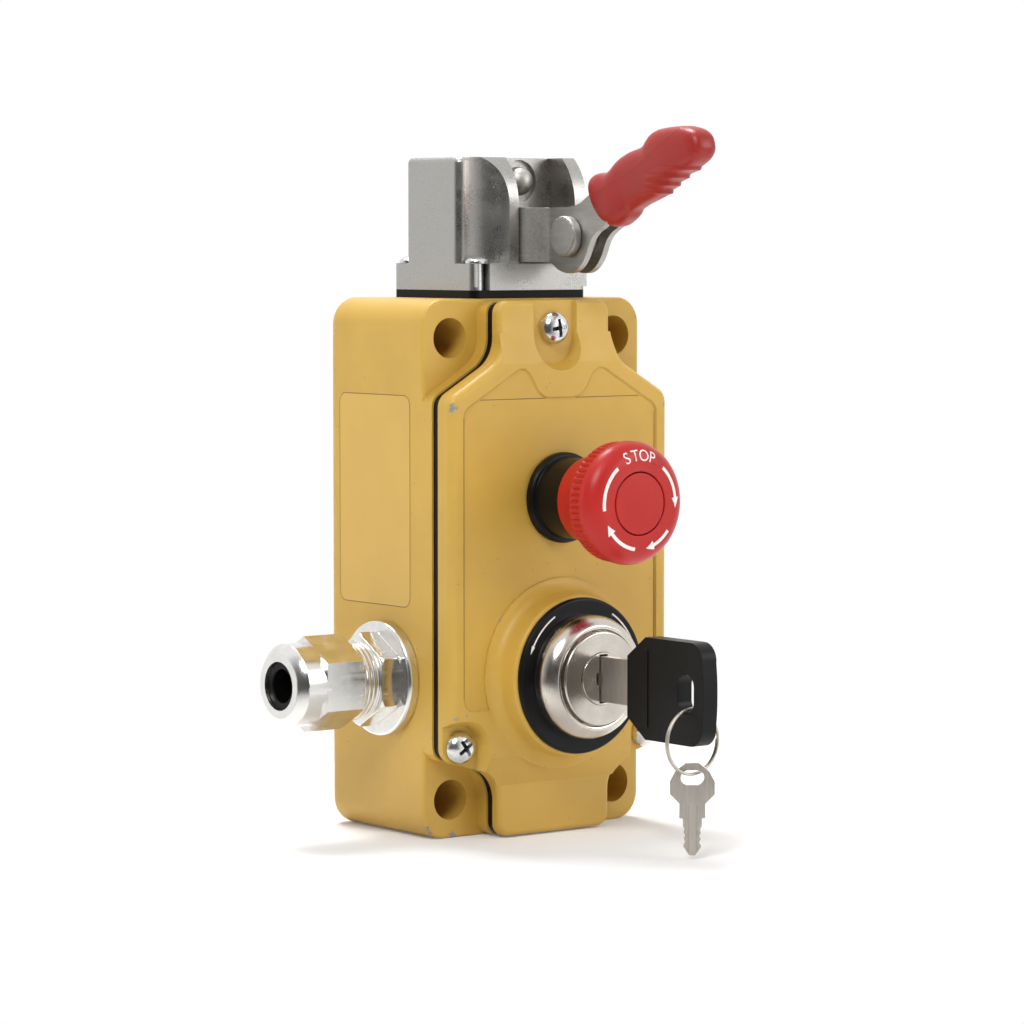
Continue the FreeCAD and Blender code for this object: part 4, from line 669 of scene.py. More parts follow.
def flat_shape(name, outline, holes=(), thickness=0.0):
    """Flat plate in its own plane from millimetre points, in metres, its middle at height 0."""
    curve = bpy.data.curves.new(name, "CURVE")
    curve.dimensions, curve.fill_mode, curve.extrude = "2D", "BOTH", thickness / 2
    for points in [outline, *holes]:
        spline = curve.splines.new("POLY")
        spline.points.add(len(points) - 1)
        for point, (u, w) in zip(spline.points, points):
            point.co = (u, w, 0, 1)
        spline.use_cyclic_u = True
    holder = placed(name, curve)
    mesh = baked(holder, name)
    bpy.data.objects.remove(holder)
    bpy.data.curves.remove(curve)
    mesh.transform(Matrix.Scale(MM, 4))
    return settled(mesh)


def ring_points(u, w, radius, steps=24):
    return [(u + radius * math.cos(2 * math.pi * i / steps), w + radius * math.sin(2 * math.pi * i / steps))
            for i in range(steps)]


def slot_points(u, w, half_u, half_w, steps=10):
    """A round-ended slot along its longer side."""
    radius = min(half_u, half_w)
    points = []
    for i in range(4 * steps):
        angle = 2 * math.pi * (i + 0.5) / (4 * steps)
        points.append((u + radius * math.cos(angle) + math.copysign(half_u - radius, math.cos(angle)),
                       w + radius * math.sin(angle) + math.copysign(half_w - radius, math.sin(angle))))
    return points


def upright(normal):
    """Carries a flat shape's plane to the plane square to X or to -Y."""
    across = Vector((0, 1, 0)) if abs(normal.x) > 0.5 else Vector((1, 0, 0))
    return Matrix((across, UP, across.cross(UP))).transposed().to_4x4()


def cross_head(name, head_r, head_h, shank_r, shank_l):
    """Pan-head screw with a cross recess, from millimetres, its head's seat at the origin."""
    profile = smooth_profile([
        (0.001, -shank_l), (shank_r, -shank_l), (shank_r, 0), (head_r - 0.25, 0),
        (head_r - 0.02, 0.12, head_r, 0.3), (head_r, head_h * 0.32),
        (head_r * 0.80, head_h * 0.80, 0.001, head_h)], 10)
    screw = lathe(name, profile, Vector(), UP, 48, closed=False)
    arms = [tapered_bar(head_r * 1.16, head_r * 0.24, head_h, turn) for turn in (0, math.pi / 2)]
    return carved(name, screw, arms)


def recess_shade_insert(name, head_r, head_h):
    """Dark insert in the bottom of a cross recess: painted shade where the recess is deep."""
    bars = [tapered_bar(head_r * 1.12, head_r * 0.235, head_h, turn, 0.62) for turn in (0, math.pi / 2)]
    return edited(bars[0], lambda work: work.from_mesh(bars[1]), name=name)


def tapered_bar(length_, width, top, turn, fill=1.3):
    """Wedge that narrows downwards, for one slot of a cross recess, from millimetres."""
    vertices = []
    for z in (top * fill, top * 0.18):
        share = 0.42 + 0.73 * (z / top - 0.18) / 1.12
        for sx, sy in ((-1, -1), (1, -1), (1, 1), (-1, 1)):
            point = Vector((sx * length_ / 2 * share, sy * width / 2 * share, z)) * MM
            vertices.append(Matrix.Rotation(turn, 3, "Z") @ point)
    faces = [(0, 1, 2, 3), (7, 6, 5, 4), (0, 4, 5, 1), (1, 5, 6, 2), (2, 6, 7, 3), (3, 7, 4, 0)]
    return mesh_of("recess_arm", vertices, faces)


# ---- castings, gaskets and inner pieces -------------------------------------
CORNER_MADE, CORNER_WANTED = 11.0, 8.0        # round of the housing's four corners, in mm
BACK_MADE, BACK_WANTED = 8.0, 3.5             # round of its back edge
BLEND_FROM, BLEND_OVER = 0.7, 0.2             # shares of a round's radius over which the change grows
LUGS = [Vector((sx * 31.0, sz * 68.5)) for sx in (-1, 1) for sz in (-1, 1)]
LUG_KEEP = 4.5                                # the surface this near a fixing hole's axis stays as it is


def tighter(a, b, made, wanted):
    """Carry a point near a round of one radius to a round of a smaller one."""
    r = math.hypot(a, b)
    if a <= 0 or b <= 0 or r < made * BLEND_FROM:
        return a, b
    c, s = max(a, b) / r, min(a, b) / r
    reach, inset = made / c, made - wanted
    if s / c > inset / made:
        reach = inset * (c + s) + math.sqrt(max(0.0, (inset * (c + s)) ** 2 - 2 * inset ** 2 + wanted ** 2))
    t = min(1.0, (r / made - BLEND_FROM) / BLEND_OVER)
    share = 1 + (reach / made - 1) * t * t * (3 - 2 * t)
    return a * share, b * share


def rerounded(mesh):
    """Tighten the housing's corners and its back edge, on its outer skin only."""
    half_x, half_z = high("base_housing").x / MM, high("base_housing").z / MM
    for vertex in mesh.vertices:
        x, y, z = vertex.co / MM
        qx, qz = abs(x) - half_x + CORNER_MADE, abs(z) - half_z + CORNER_MADE
        rho = math.hypot(qx, qz) if min(qx, qz) > 0 else max(qx, qz)
        inward = CORNER_MADE - rho
        rise, drop = tighter(BACK_MADE - inward, BACK_MADE + y, BACK_MADE, BACK_WANTED)
        y = drop - BACK_MADE
        if min((Vector((x, z)) - lug).length for lug in LUGS) > LUG_KEEP:
            move = rise - BACK_MADE + inward
            if min(qx, qz) > 0:
                qx, qz = qx + move * qx / rho, qz + move * qz / rho
                qx, qz = tighter(qx, qz, CORNER_MADE, CORNER_WANTED)
            elif qx > qz:
                qx += move
            else:
                qz += move
        vertex.co = Vector((math.copysign(qx + half_x - CORNER_MADE, x), y,
                            math.copysign(qz + half_z - CORNER_MADE, z))) * MM
    return mesh


class INTERLOCK_OT_housing(bpy.types.Operator):
    """Die-cast housing with four sunk mounting holes"""
    bl_idname = "interlock.housing"
    bl_label = "Housing"

    def execute(self, context):
        sizes = context.scene.interlock_sizes
        mesh = rerounded(flattened("base_housing", "housing_casting"))
        beveled(piece("housing_casting", mesh, "enamel", "housing", ("base_housing",)), sizes.edge)
        return {"FINISHED"}


class INTERLOCK_OT_cover(bpy.types.Operator):
    """Front cover with its recess, screw pockets and lock boss"""
    bl_idname = "interlock.cover"
    bl_label = "Front cover"

    def execute(self, context):
        sizes = context.scene.interlock_sizes
        dressed("front_cover", "cover_casting", "enamel", sizes.edge * 1.6)
        return {"FINISHED"}


class INTERLOCK_OT_gaskets(bpy.types.Operator):
    """Rubber gaskets under the cover and the head, and the gland's seal"""
    bl_idname = "interlock.gaskets"
    bl_label = "Gaskets and seal"

    def execute(self, context):
        sizes = context.scene.interlock_sizes
        for node in ("cover_gasket", "head_gasket", "gland_seal"):
            dressed(node, node + "_rubber", "rubber", sizes.edge)
        return {"FINISHED"}


class INTERLOCK_OT_inner(bpy.types.Operator):
    """Contact blocks, terminals, springs and fixings inside the housing"""
    bl_idname = "interlock.inner"
    bl_label = "Inner pieces"

    def execute(self, context):
        inner = {
            "black_plastic": ("contact_block", "estop_contact_block", "lock_contact_block", "estop_nut",
                              "estop_stem"),
            "pale_plastic": ("contact_pin", "lock_plunger"),
            "bright_zinc": ("block_screws", "earth_screw", "contact_terminals", "estop_terminals",
                            "cam_screw"),
            "tumbled_steel": ("switch_rod", "lock_cam", "tongue_bar", "rod_spring", "estop_spring",
                              "detent_spring"),
            "turned_nickel": ("lock_nut",), "plated_gland": ("gland_locknut",), "bronze": ("rod_bush",)}
        for finish_name, nodes in inner.items():
            for node in nodes:
                mesh = frame["nodes"][node].data
                mesh.materials.clear()
                mesh.materials.append(material(finish_name))
        return {"FINISHED"}


class INTERLOCK_OT_cover_screws(bpy.types.Operator):
    """Three cross-recessed pan-head screws that hold the cover"""
    bl_idname = "interlock.cover_screws"
    bl_label = "Cover screws"

    def execute(self, context):
        box_low, box_high = low("cover_screws"), high("cover_screws")
        head_r, head_h = 4.9, 3.6
        seat, inset = box_low.y + head_h * MM, head_r * MM
        ear_x, ear_z, top_z = box_high.x - inset, box_low.z + inset, box_high.z - inset
        places = [(Vector((x, seat, z)), facing(OUT, math.radians(spin)))
                  for x, z, spin in ((0, top_z, 8), (-ear_x, ear_z, 34), (ear_x, ear_z, 60))]
        screw = cross_head("cover_screw", head_r, head_h, 2.5, 16)
        mesh = copies("cover_screw_set", screw, places, "bright_zinc")
        piece("cover_screw_set", mesh, "bright_zinc", "housing", ("cover_screws",))
        # Dark inserts in the bottom of the recesses: painted shade.
        recess_shade = recess_shade_insert("cover_screw_grime", head_r, head_h)
        mesh = copies("cover_screw_grime", recess_shade, places, "black_plastic")
        piece("cover_screw_grime", mesh, "black_plastic", "housing")
        return {"FINISHED"}


# ---- stop button ------------------------------------------------------------
# Outlines as (radius, distance from the wall) in mm; four numbers are an arc, its middle point first.
KNOB_FACE = [(9.35, 96.6), (9.35, 98.35), (9.42, 98.62, 9.75, 98.72), (12.4, 98.66),
             (16.35, 97.2, 18.1, 94.2), (18.12, 92.8)]
KNOB_BACK = [(17.75, 92.2), (17.7, 88.4), (17.45, 87.5, 16.6, 87.1), (15.2, 86.9),
             (13.6, 86.2, 13.1, 84.4), (12.85, 76.2), (12.7, 76.0), (12.3, 76.0), (12.3, 90.0),
             (5.6, 90.0), (5.6, 96.6)]
GRIPS_BACK, GRIPS_FRONT = 87.9 * MM, 92.5 * MM    # where the grips on the knob's rim end
GRIPS_INSIDE = 16.5 * MM                          # surfaces nearer the axis have no grips


def knob_front(radius):
    """Height of the knob's front face at a radius, in metres."""
    profile = smooth_profile(KNOB_FACE, 24)
    for (r0, h0), (r1, h1) in zip(profile[2:], profile[3:]):
        if r0 <= radius <= r1:
            return h0 + (h1 - h0) * (radius - r0) / max(r1 - r0, 1e-9)
    raise RuntimeError("that radius is off the knob's face")


class INTERLOCK_OT_stop_button(bpy.types.Operator):
    """Black collar, ribbed mushroom knob and its centre cap"""
    bl_idname = "interlock.stop_button"
    bl_label = "Stop button"

    def execute(self, context):
        sizes = context.scene.interlock_sizes

        def reach(radius, height, angle):
            if radius < GRIPS_INSIDE or not GRIPS_BACK < height < GRIPS_FRONT:
                return radius
            fade = min(1.0, (height - GRIPS_BACK) / (0.5 * MM), (GRIPS_FRONT - height) / (0.7 * MM))
            wave = 0.5 - 0.5 * math.cos(sizes.knob_grips * angle)
            return radius - sizes.grip_depth * fade * wave ** 1.5

        rim = [(17.9 - 0.10 * i, 92.8 - 0.3 * i) for i in range(1, 3)]
        rim += [(17.7, 92.2 - 0.38 * i) for i in range(1, 11)]
        profile = smooth_profile(KNOB_FACE, 10) + [(r * MM, h * MM) for r, h in rim]
        profile += smooth_profile(KNOB_BACK[1:], 6)
        foot = on_front(STOP_AXIS)
        mesh = lathe("knob", profile, foot, OUT, sizes.knob_grips * 8, reach)
        piece("stop_knob_moulding", mesh, "red_plastic", "stop_knob", ("estop_mushroom",))
        cap = smooth_profile([(0.001, 96.6), (9.0, 96.6), (9.0, 98.2), (8.94, 98.6, 8.5, 98.78),
                              (4.6, 99.0, 0.001, 99.08)], 10)
        mesh = lathe("cap", cap, foot, OUT, 96, closed=False)
        piece("stop_cap_moulding", mesh, "red_plastic", "stop_knob", ("estop_cap",))
        dressed("estop_collar", "stop_collar_moulding", "black_plastic", sizes.edge)
        return {"FINISHED"}


def polar(radius, turn):
    """Point (across, up) at a clock angle, counted from 12 o'clock."""
    return radius * math.sin(turn), radius * math.cos(turn)


def arc_print(radius, start, end, width, head=0.0):
    """Strips of an arc between clock angles, and an arrow head past its end."""
    points, faces = [], []
    way = 1 if end > start else -1
    strips = [(start, end, width / 2, width / 2, 28)]
    if head:
        strips.append((end, end + way * head / radius, width * 1.3, 1e-5, 8))
    for first, last, half_first, half_last, layers in strips:
        base = len(points)
        for i in range(layers + 1):
            share = i / layers
            half = half_first + (half_last - half_first) * share
            turn = first + (last - first) * share
            points += [polar(radius + half * (k / 2 - 1), turn) for k in range(5)]
        faces += [(base + 5 * i + k, base + 5 * i + k + 1, base + 5 * i + k + 6, base + 5 * i + k + 5)
                  for i in range(layers) for k in range(4)]
    return points, faces


def letter_print(text, radius, height, spacing):
    """Letters set round an arc at 12 o'clock, as flat points and faces."""
    points, faces = [], []
    for i, letter in enumerate(text):
        turn = (i - (len(text) - 1) / 2) * spacing
        curve = bpy.data.curves.new("letter", "FONT")
        curve.body, curve.size, curve.align_x = letter, height * 1.38, "CENTER"
        holder = placed("letter", curve)
        work = bmesh.new()
        work.from_mesh(holder.to_mesh())
        bmesh.ops.triangulate(work, faces=work.faces)
        bmesh.ops.subdivide_edges(work, edges=work.edges, cuts=3)
        work.verts.ensure_lookup_table()
        base = len(points)
        for vertex in work.verts:
            x, z = vertex.co.x, vertex.co.y + radius - height / 2
            points.append((x * math.cos(turn) + z * math.sin(turn), z * math.cos(turn) - x * math.sin(turn)))
        faces += [tuple(base + v.index for v in face.verts) for face in work.faces]
        work.free()
        holder.to_mesh_clear()
        bpy.data.objects.remove(holder)
        bpy.data.curves.remove(curve)
    return points, faces


PRINT_LIFT = 0.05 * MM      # height of the print's skin over the surface


def printed(name, prints, foot, surface):
    """Lay flat prints on a round front surface, as a thin skin."""
    vertices, faces = [], []
    for points, strips in prints:
        faces += [tuple(len(vertices) + i for i in strip) for strip in strips]
        for across, up in points:
            height = surface(math.hypot(across, up)) + PRINT_LIFT
            vertices.append(foot + Vector((across, -height, up)))

    def turn_to_front(work):
        for face in work.faces:
            face.normal_update()
            if face.normal.y > 0:
                face.normal_flip()

    mesh = edited(raw_mesh(name, vertices, faces), turn_to_front)
    mesh.shade_smooth()
    return mesh


class INTERLOCK_OT_stop_print(bpy.types.Operator):
    """White word STOP and four turning arcs on the knob's face"""
    bl_idname = "interlock.stop_print"
    bl_label = "Stop button print"

    def execute(self, context):
        sizes = context.scene.interlock_sizes
        deg = math.radians
        prints = [arc_print(13.3 * MM, deg(start), deg(end), sizes.print_width, arrow * MM)
                  for start, end, arrow in ((-38, -97, 0), (40, 84, 3), (128, 157, 3), (188, 231, 3))]
        prints.append(letter_print("STOP", 14.2 * MM, 3.4 * MM, deg(13)))
        mesh = printed("stop_print", prints, on_front(STOP_AXIS), knob_front)
        piece("stop_print", mesh, "white_ink", "stop_knob")
        return {"FINISHED"}


# ---- key lock ---------------------------------------------------------------
class INTERLOCK_OT_lock(bpy.types.Operator):
    """Black marker ring, domed bezel, brushed face and slotted core"""
    bl_idname = "interlock.lock"
    bl_label = "Key lock"

    def execute(self, context):
        sizes = context.scene.interlock_sizes
        foot = on_front(LOCK_AXIS)
        bezel = smooth_profile([
            (7.85, 50.0), (11.0, 50.0), (11.0, 72.2), (17.9, 72.2), (18.42, 72.35, 18.5, 72.8), (18.5, 74.0),
            (17.9, 77.6, 15.8, 80.0), (15.3, 80.2, 14.7, 80.15), (14.42, 80.0, 14.4, 79.6), (14.4, 76.5),
            (7.85, 76.5)], 12)
        mesh = lathe("bezel", bezel, foot, OUT, 160)
        piece("lock_bezel_turned", mesh, "turned_nickel", "housing", ("lock_bezel",))
        face = smooth_profile([(7.85, 76.5), (13.85, 76.5), (13.85, 80.6), (13.75, 81.2, 13.2, 81.35),
                               (7.95, 81.5), (7.85, 81.4)], 8)
        mesh = lathe("face", face, foot, OUT, 160)
        piece("lock_face_brushed", mesh, "turned_nickel", "housing", ("lock_face",))
        dressed("lock_core", "lock_core_slotted", "turned_nickel", sizes.fine_edge)
        dressed("lock_ring", "lock_marker_ring", "black_plastic", sizes.edge)
        deg = math.radians
        prints = [arc_print(21.0 * MM, deg(-30), deg(-62), 0.5 * MM, 2.6 * MM),
                  arc_print(21.0 * MM, deg(32), deg(64), 0.5 * MM)]
        mesh = printed("lock_marks", prints, foot, lambda radius: -low("lock_ring").y)
        piece("lock_marks", mesh, "white_ink", "housing")
        return {"FINISHED"}


# ---- cable gland ------------------------------------------------------------
def rings_tree(finish_name):
    """A row of round ridges along an axis, for a thread."""
    weave = Weave("thread_ridges")
    pitch = weave.input("Pitch", "Float")
    circle = weave.made("GeometryNodeCurvePrimitiveCircle", "Curve", {
        "Resolution": 96, "Radius": weave.input("Radius", "Float")})
    ring = weave.round_bar(circle, weave.maths("MULTIPLY", pitch, 0.42), 10)
    step = weave.made("ShaderNodeCombineXYZ", "Vector", {"Z": pitch})
    row = weave.made("GeometryNodeMeshLine", "Mesh", {
        "Count": weave.input("Count", "Int"), "Offset": step}, mode="OFFSET")
    copied = weave.made("GeometryNodeInstanceOnPoints", "Instances", {"Points": row, "Instance": ring})
    return weave.finish(copied, finish_name)


class INTERLOCK_OT_gland(bpy.types.Operator):
    """Washer, hexagon body, thread and dome nut of the cable gland"""
    bl_idname = "interlock.gland"
    bl_label = "Cable gland"

    def execute(self, context):
        sizes = context.scene.interlock_sizes
        for node in ("gland_washer", "gland_body", "gland_dome_nut"):
            dressed(node, node + "_plated", "plated_gland", sizes.edge)
        values = {"Count": 4, "Pitch": sizes.thread_pitch, "Radius": 11.15 * MM}
        mesh = grown("gland_thread", rings_tree("plated_gland"), values)
        start = Vector((high("gland_dome_nut").x + sizes.thread_pitch * 0.5, GLAND_AXIS.y, GLAND_AXIS.z))
        mesh.transform(Matrix.Translation(start) @ Matrix.Rotation(math.pi / 2, 4, "Y"))
        piece("gland_thread", mesh, "plated_gland", "housing")
        return {"FINISHED"}


# ---- head, lever and tongue -------------------------------------------------
class INTERLOCK_OT_head(bpy.types.Operator):
    """Cast head with its scoop, cheeks, screws and sprung plunger"""
    bl_idname = "interlock.head"
    bl_label = "Tongue head"

    def execute(self, context):
        sizes = context.scene.interlock_sizes
        dressed("head_block", "head_casting", "bare_casting", sizes.edge * 1.3)
        dressed("head_screws", "head_screw_set", "bright_zinc", sizes.fine_edge)
        dressed("detent_plunger", "detent_plunger_turned", "tumbled_steel")
        return {"FINISHED"}


PLATE_OUTLINE = [           # Y and Z round a lever plate, from the tail's lower corner
    (-36, 90.8), (-51, 90.7), (-54.5, 90.2), (-57.5, 88.5), (-61.5, 87.5), (-65, 87.9), (-68, 89.6),
    (-70.4, 92.4), (-71.9, 95.4), (-73.4, 97.8), (-75.8, 99.8), (-79, 101.4), (-83, 104.6), (-88, 108.8),
    (-92, 111), (-91, 117), (-80, 114), (-73.8, 111.4), (-70, 109.4), (-67.3, 108), (-64, 107.2),
    (-60, 107), (-36, 107)]
BEND_START, BEND_END = -47.4, -53.4          # Y of the double bend


class INTERLOCK_OT_lever(bpy.types.Operator):
    """Two bent lever plates and the rivet that they turn on"""
    bl_idname = "interlock.lever"
    bl_label = "Lever plates"

    def execute(self, context):
        sizes = context.scene.interlock_sizes
        hole = ring_points(PIVOT.y / MM, PIVOT.z / MM, 3.6)
        for node, side in (("lever_plate_left", 1), ("lever_plate_right", -1)):
            wide, near = (low(node).x, high(node).x) if side > 0 else (high(node).x, low(node).x)
            self.plate(node, hole, wide + side * MM, near - side * MM, sizes.fine_edge * 2)
        dressed("pivot_rivet", "pivot_rivet_steel", "tumbled_steel", sizes.fine_edge * 3)
        return {"FINISHED"}

    def plate(self, node, hole, tail_x, lobe_x, edge):
        """Flat outline, cut into strips, bent over to the lobe and given its thickness."""
        def bend(work):
            strips = 14
            for i in range(strips + 1):
                y = (BEND_START + (BEND_END - BEND_START) * i / strips) * MM
                bmesh.ops.bisect_plane(work, geom=work.verts[:] + work.edges[:] + work.faces[:],
                                       plane_co=(0, y, 0), plane_no=(0, 1, 0))
            for vertex in work.verts:
                share = (vertex.co.y / MM - BEND_START) / (BEND_END - BEND_START)
                share = min(1.0, max(0.0, share))
                vertex.co.x = tail_x + (lobe_x - tail_x) * (1 - math.cos(math.pi * share)) / 2

        name = node + "_bent"
        mesh = flat_shape(name, smooth_loop(PLATE_OUTLINE), [hole])
        mesh.transform(upright(Vector((1, 0, 0))))
        edited(mesh, bend).shade_smooth()
        made = piece(name, mesh, "tumbled_steel", "lever", (node,))
        sheet = made.modifiers.new("thickness", "SOLIDIFY")
        sheet.thickness, sheet.offset, sheet.use_even_offset = 2 * MM, 0, True
        beveled(made, edge, 2, 50)


def smooth_loop(points, steps=3):
    """The same closed outline with its slight corners rounded off."""
    made = []
    count = len(points)
    for i in range(count):
        a, b, c, d = (Vector(points[(i + k) % count]) for k in (-1, 0, 1, 2))
        soft = (b - a).angle(c - b) < 0.9 and (c - b).angle(d - c) < 0.9 and (c - b).length < 8
        for k in range(steps if soft else 1):
            t = k / steps
            made.append(tuple(between(a[j], b[j], c[j], d[j], t) for j in range(2)))
    return made


GRIP_START = Vector((PIVOT.x / MM, -67.5, 108.7))
GRIP_RISE = math.radians(18)
GRIP_SECTIONS = (           # along the grip: top, bottom, half width
    (4.3, 2.6, -0.6, 2.6), (4.7, 4.4, -2.6, 3.7), (5.8, 5.6, -5.8, 4.6), (7.4, 6.0, -8.9, 5.1),
    (9.6, 5.7, -10.9, 5.4), (12.4, 4.9, -11.7, 5.5), (15.0, 5.2, -11.5, 5.4), (17.8, 6.4, -10.9, 5.1),
    (20.4, 7.0, -9.6, 4.9), (24.5, 7.2, -9.2, 4.9), (29.4, 6.8, -9.2, 5.0), (31.8, 7.1, -9.1, 5.1),
    (33.8, 8.2, -8.6, 5.2), (36.0, 9.0, -7.9, 5.3), (39.0, 9.0, -7.2, 5.4), (42.5, 8.3, -6.5, 5.4),
    (46.0, 7.4, -6.1, 5.3), (49.4, 6.3, -5.9, 5.1), (52.2, 5.0, -5.4, 4.8), (54.3, 3.5, -4.4, 4.1),
    (55.5, 1.9, -3.0, 3.0), (55.9, 0.2, -1.6, 1.4))
CREASE_Z, CREASE_PITCH = 111.8, 2.2          # the lowest finger crease and the step between creases
CREASE_RISE = 0.75                           # how far a ledge stands out


def crease(along, height, w):
    """Stepped ledges low on the grip, level with the ground, under the fingers."""
    spot = (height - CREASE_Z) / CREASE_PITCH
    if not -1 < spot < 3:
        return 0.0
    part = spot - math.floor(spot)
    fade = min(1.0, max(0.0, (-2.4 - w) / 1.8)) * min(1.0, max(0.0, (along - 31.0) / 3.0))
    return CREASE_RISE * fade * min(part / 0.84, (1 - part) / 0.16)


def between(a, b, c, d, t):
    """Value of a smooth curve through four numbers, between b and c."""
    return 0.5 * (2 * b + (c - a) * t + (2 * a - 5 * b + 4 * c - d) * t * t
                  + (3 * b - a - 3 * c + d) * t * t * t)


def grip_row(share):
    """Along, top, bottom and half width at a share of the grip's length."""
    last = len(GRIP_SECTIONS) - 1
    spot = share * last
    k = min(int(spot), last - 1)
    picks = [GRIP_SECTIONS[max(0, min(last, k + i))] for i in (-1, 0, 1, 2)]
    return [between(*(p[j] for p in picks), spot - k) for j in range(4)]


class INTERLOCK_OT_grip(bpy.types.Operator):
    """Moulded lever grip with its collar, waist, finger creases and parting line"""
    bl_idname = "interlock.grip"
    bl_label = "Lever grip"

    def execute(self, context):
        rows, steps = 231, 144
        forward = Vector((0, -math.cos(GRIP_RISE), math.sin(GRIP_RISE)))
        upward = Vector((0, math.sin(GRIP_RISE), math.cos(GRIP_RISE)))
        vertices = []
        for row in range(rows + 1):
            along, top, bottom, half_w = grip_row(row / rows)
            mid, half_h = (top + bottom) / 2, (top - bottom) / 2
            seam_w = 0.004 * max(0.0, along - 12) ** 2
            for i in range(steps):
                angle = 2 * math.pi * i / steps
                c, s = math.cos(angle), math.sin(angle)
                u = half_w * math.copysign(abs(c) ** 0.72, c)
                w = mid + half_h * math.copysign(abs(s) ** 0.72, s)
                place = GRIP_START + forward * along + Vector((u, 0, 0)) + upward * w
                push = crease(along, place.z, w) + 0.09 * math.exp(-((w - seam_w) / 0.2) ** 2)
                vertices.append((place + (Vector((c, 0, 0)) + upward * s) * push) * MM)
        ends = [tuple(range(steps)), tuple(range(rows * steps, (rows + 1) * steps))]
        mesh = mesh_of("grip", vertices, wrapped(rows + 1, steps) + ends, 60)
        piece("lever_grip_moulding", mesh, "red_grip", "lever", ("lever_grip",))
        return {"FINISHED"}


# ---- keys and ring ----------------------------------------------------------
SPARE_OUTLINE = [           # half of the spare key's outline, from its hole's middle
    (1.8, 4.2), (4.9, 1.7), (6.4, -1.2), (6.4, -4.8), (3.7, -7.5), (3.7, -11.7), (2.7, -11.7), (2.7, -13.9),
    (2.2, -14.9), (2.45, -15.9), (1.95, -16.8), (2.4, -17.7), (2.0, -18.6), (2.6, -19.8), (0.9, -22.4)]
SPARE_YAW = 37.0            # degrees that the hanging key is turned


class INTERLOCK_OT_key(bpy.types.Operator):
    """Key in the lock, with its moulded bow, and the spare key"""
    bl_idname = "interlock.key"
    bl_label = "Keys"

    def execute(self, context):
        sizes = context.scene.interlock_sizes
        dressed("key_blade", "key_blade_stamped", "key_nickel", sizes.fine_edge)
        beveled(self.bow(), sizes.edge * 2.6, 4)
        beveled(self.spare(), sizes.fine_edge)
        return {"FINISHED"}

    def bow(self):
        """Cut corners at the lock, round ones at the far end, a slot and a groove."""
        box_low, box_high = low("key_bow") / MM, high("key_bow") / MM
        lock_end, far_end, half = box_high.y - 2.2, box_low.y + 1.7, (box_high.z - box_low.z) / 2 - 0.4
        upper = [(lock_end, half - 6), (lock_end - 8.2, half), (far_end + 6, half)]
        upper += arc(upper[-1], (far_end + 1.9, half - 1.6), (far_end + 0.5, half - 6), 7)
        upper += arc(upper[-1], (far_end + 0.12, half - 10), (far_end, 0), 5)
        centre = (box_low.z + box_high.z) / 2
        outline = [(y, centre + z) for y, z in upper] + [(y, centre - z) for y, z in reversed(upper[:-1])]
        ring_y = middle("key_ring").y / MM
        thick = box_high.x - box_low.x
        mesh = flat_shape("key_bow", outline, [slot_points(ring_y, centre, 3.6, 5.7)], thick)
        mesh.transform(upright(Vector((1, 0, 0))))
        grooves = [block((side * (thick / 2 - 0.3), lock_end - 9.2, centre - 11.2),
                         (side * (thick / 2 + 1), lock_end - 9.8, centre + 11.2)) for side in (-1, 1)]
        mesh = carved("key_bow_moulding", mesh, grooves)
        return piece("key_bow_moulding", mesh, "black_plastic", body_of("key_bow"), ("key_bow",))

    def spare(self):
        """Eight-sided bow, stepped and notched blade with two flutes a side."""
        outline = SPARE_OUTLINE + [(-u, w) for u, w in reversed(SPARE_OUTLINE)]
        mesh = flat_shape("spare_key", outline, [slot_points(0, 0, 3.4, 2.2)], 1.6)
        mesh.transform(upright(OUT))
        flutes = [block((u - 0.3, side * 0.4, -24), (u + 0.3, side * 2, -8))
                  for u in (-1.3, 1.1) for side in (-1, 1)]
        mesh = carved("spare_key_stamped", mesh, flutes)
        hang = Vector((0, middle("key_ring").y, high("spare_key").z - 5.4 * MM))
        mesh.transform(Matrix.Translation(hang) @ Matrix.Rotation(math.radians(-SPARE_YAW), 4, "Z"))
        return piece("spare_key_stamped", mesh, "key_nickel", body_of("spare_key"), ("spare_key",))


def spiral_tree(finish_name):
    """Two close turns of round wire, as in a split ring."""
    weave = Weave("split_ring")
    radius, wire = weave.input("Radius", "Float"), weave.input("Wire", "Float")
    path = weave.made("GeometryNodeCurveSpiral", "Curve", {
        "Resolution": 160, "Rotations": 1.9, "Start Radius": radius, "End Radius": radius, "Height": wire})
    turns = weave.round_bar(path, weave.maths("MULTIPLY", wire, 0.5), 16, caps=True)
    return weave.finish(turns, finish_name)


class INTERLOCK_OT_key_ring(bpy.types.Operator):
    """Split ring of two close turns that carries the keys"""
    bl_idname = "interlock.key_ring"
    bl_label = "Key ring"

    def execute(self, context):
        sizes = context.scene.interlock_sizes
        radius = (high("key_ring").x - low("key_ring").x) / 2 - 0.8 * MM
        values = {"Radius": radius, "Wire": sizes.ring_wire}
        mesh = grown("split_ring", spiral_tree("key_nickel"), values)
        centre = middle("key_ring") - OUT * sizes.ring_wire / 2
        mesh.transform(Matrix.Translation(centre) @ Matrix.Rotation(math.pi / 2, 4, "X"))
        piece("split_ring", mesh, "key_nickel", "ring", ("key_ring",))
        return {"FINISHED"}


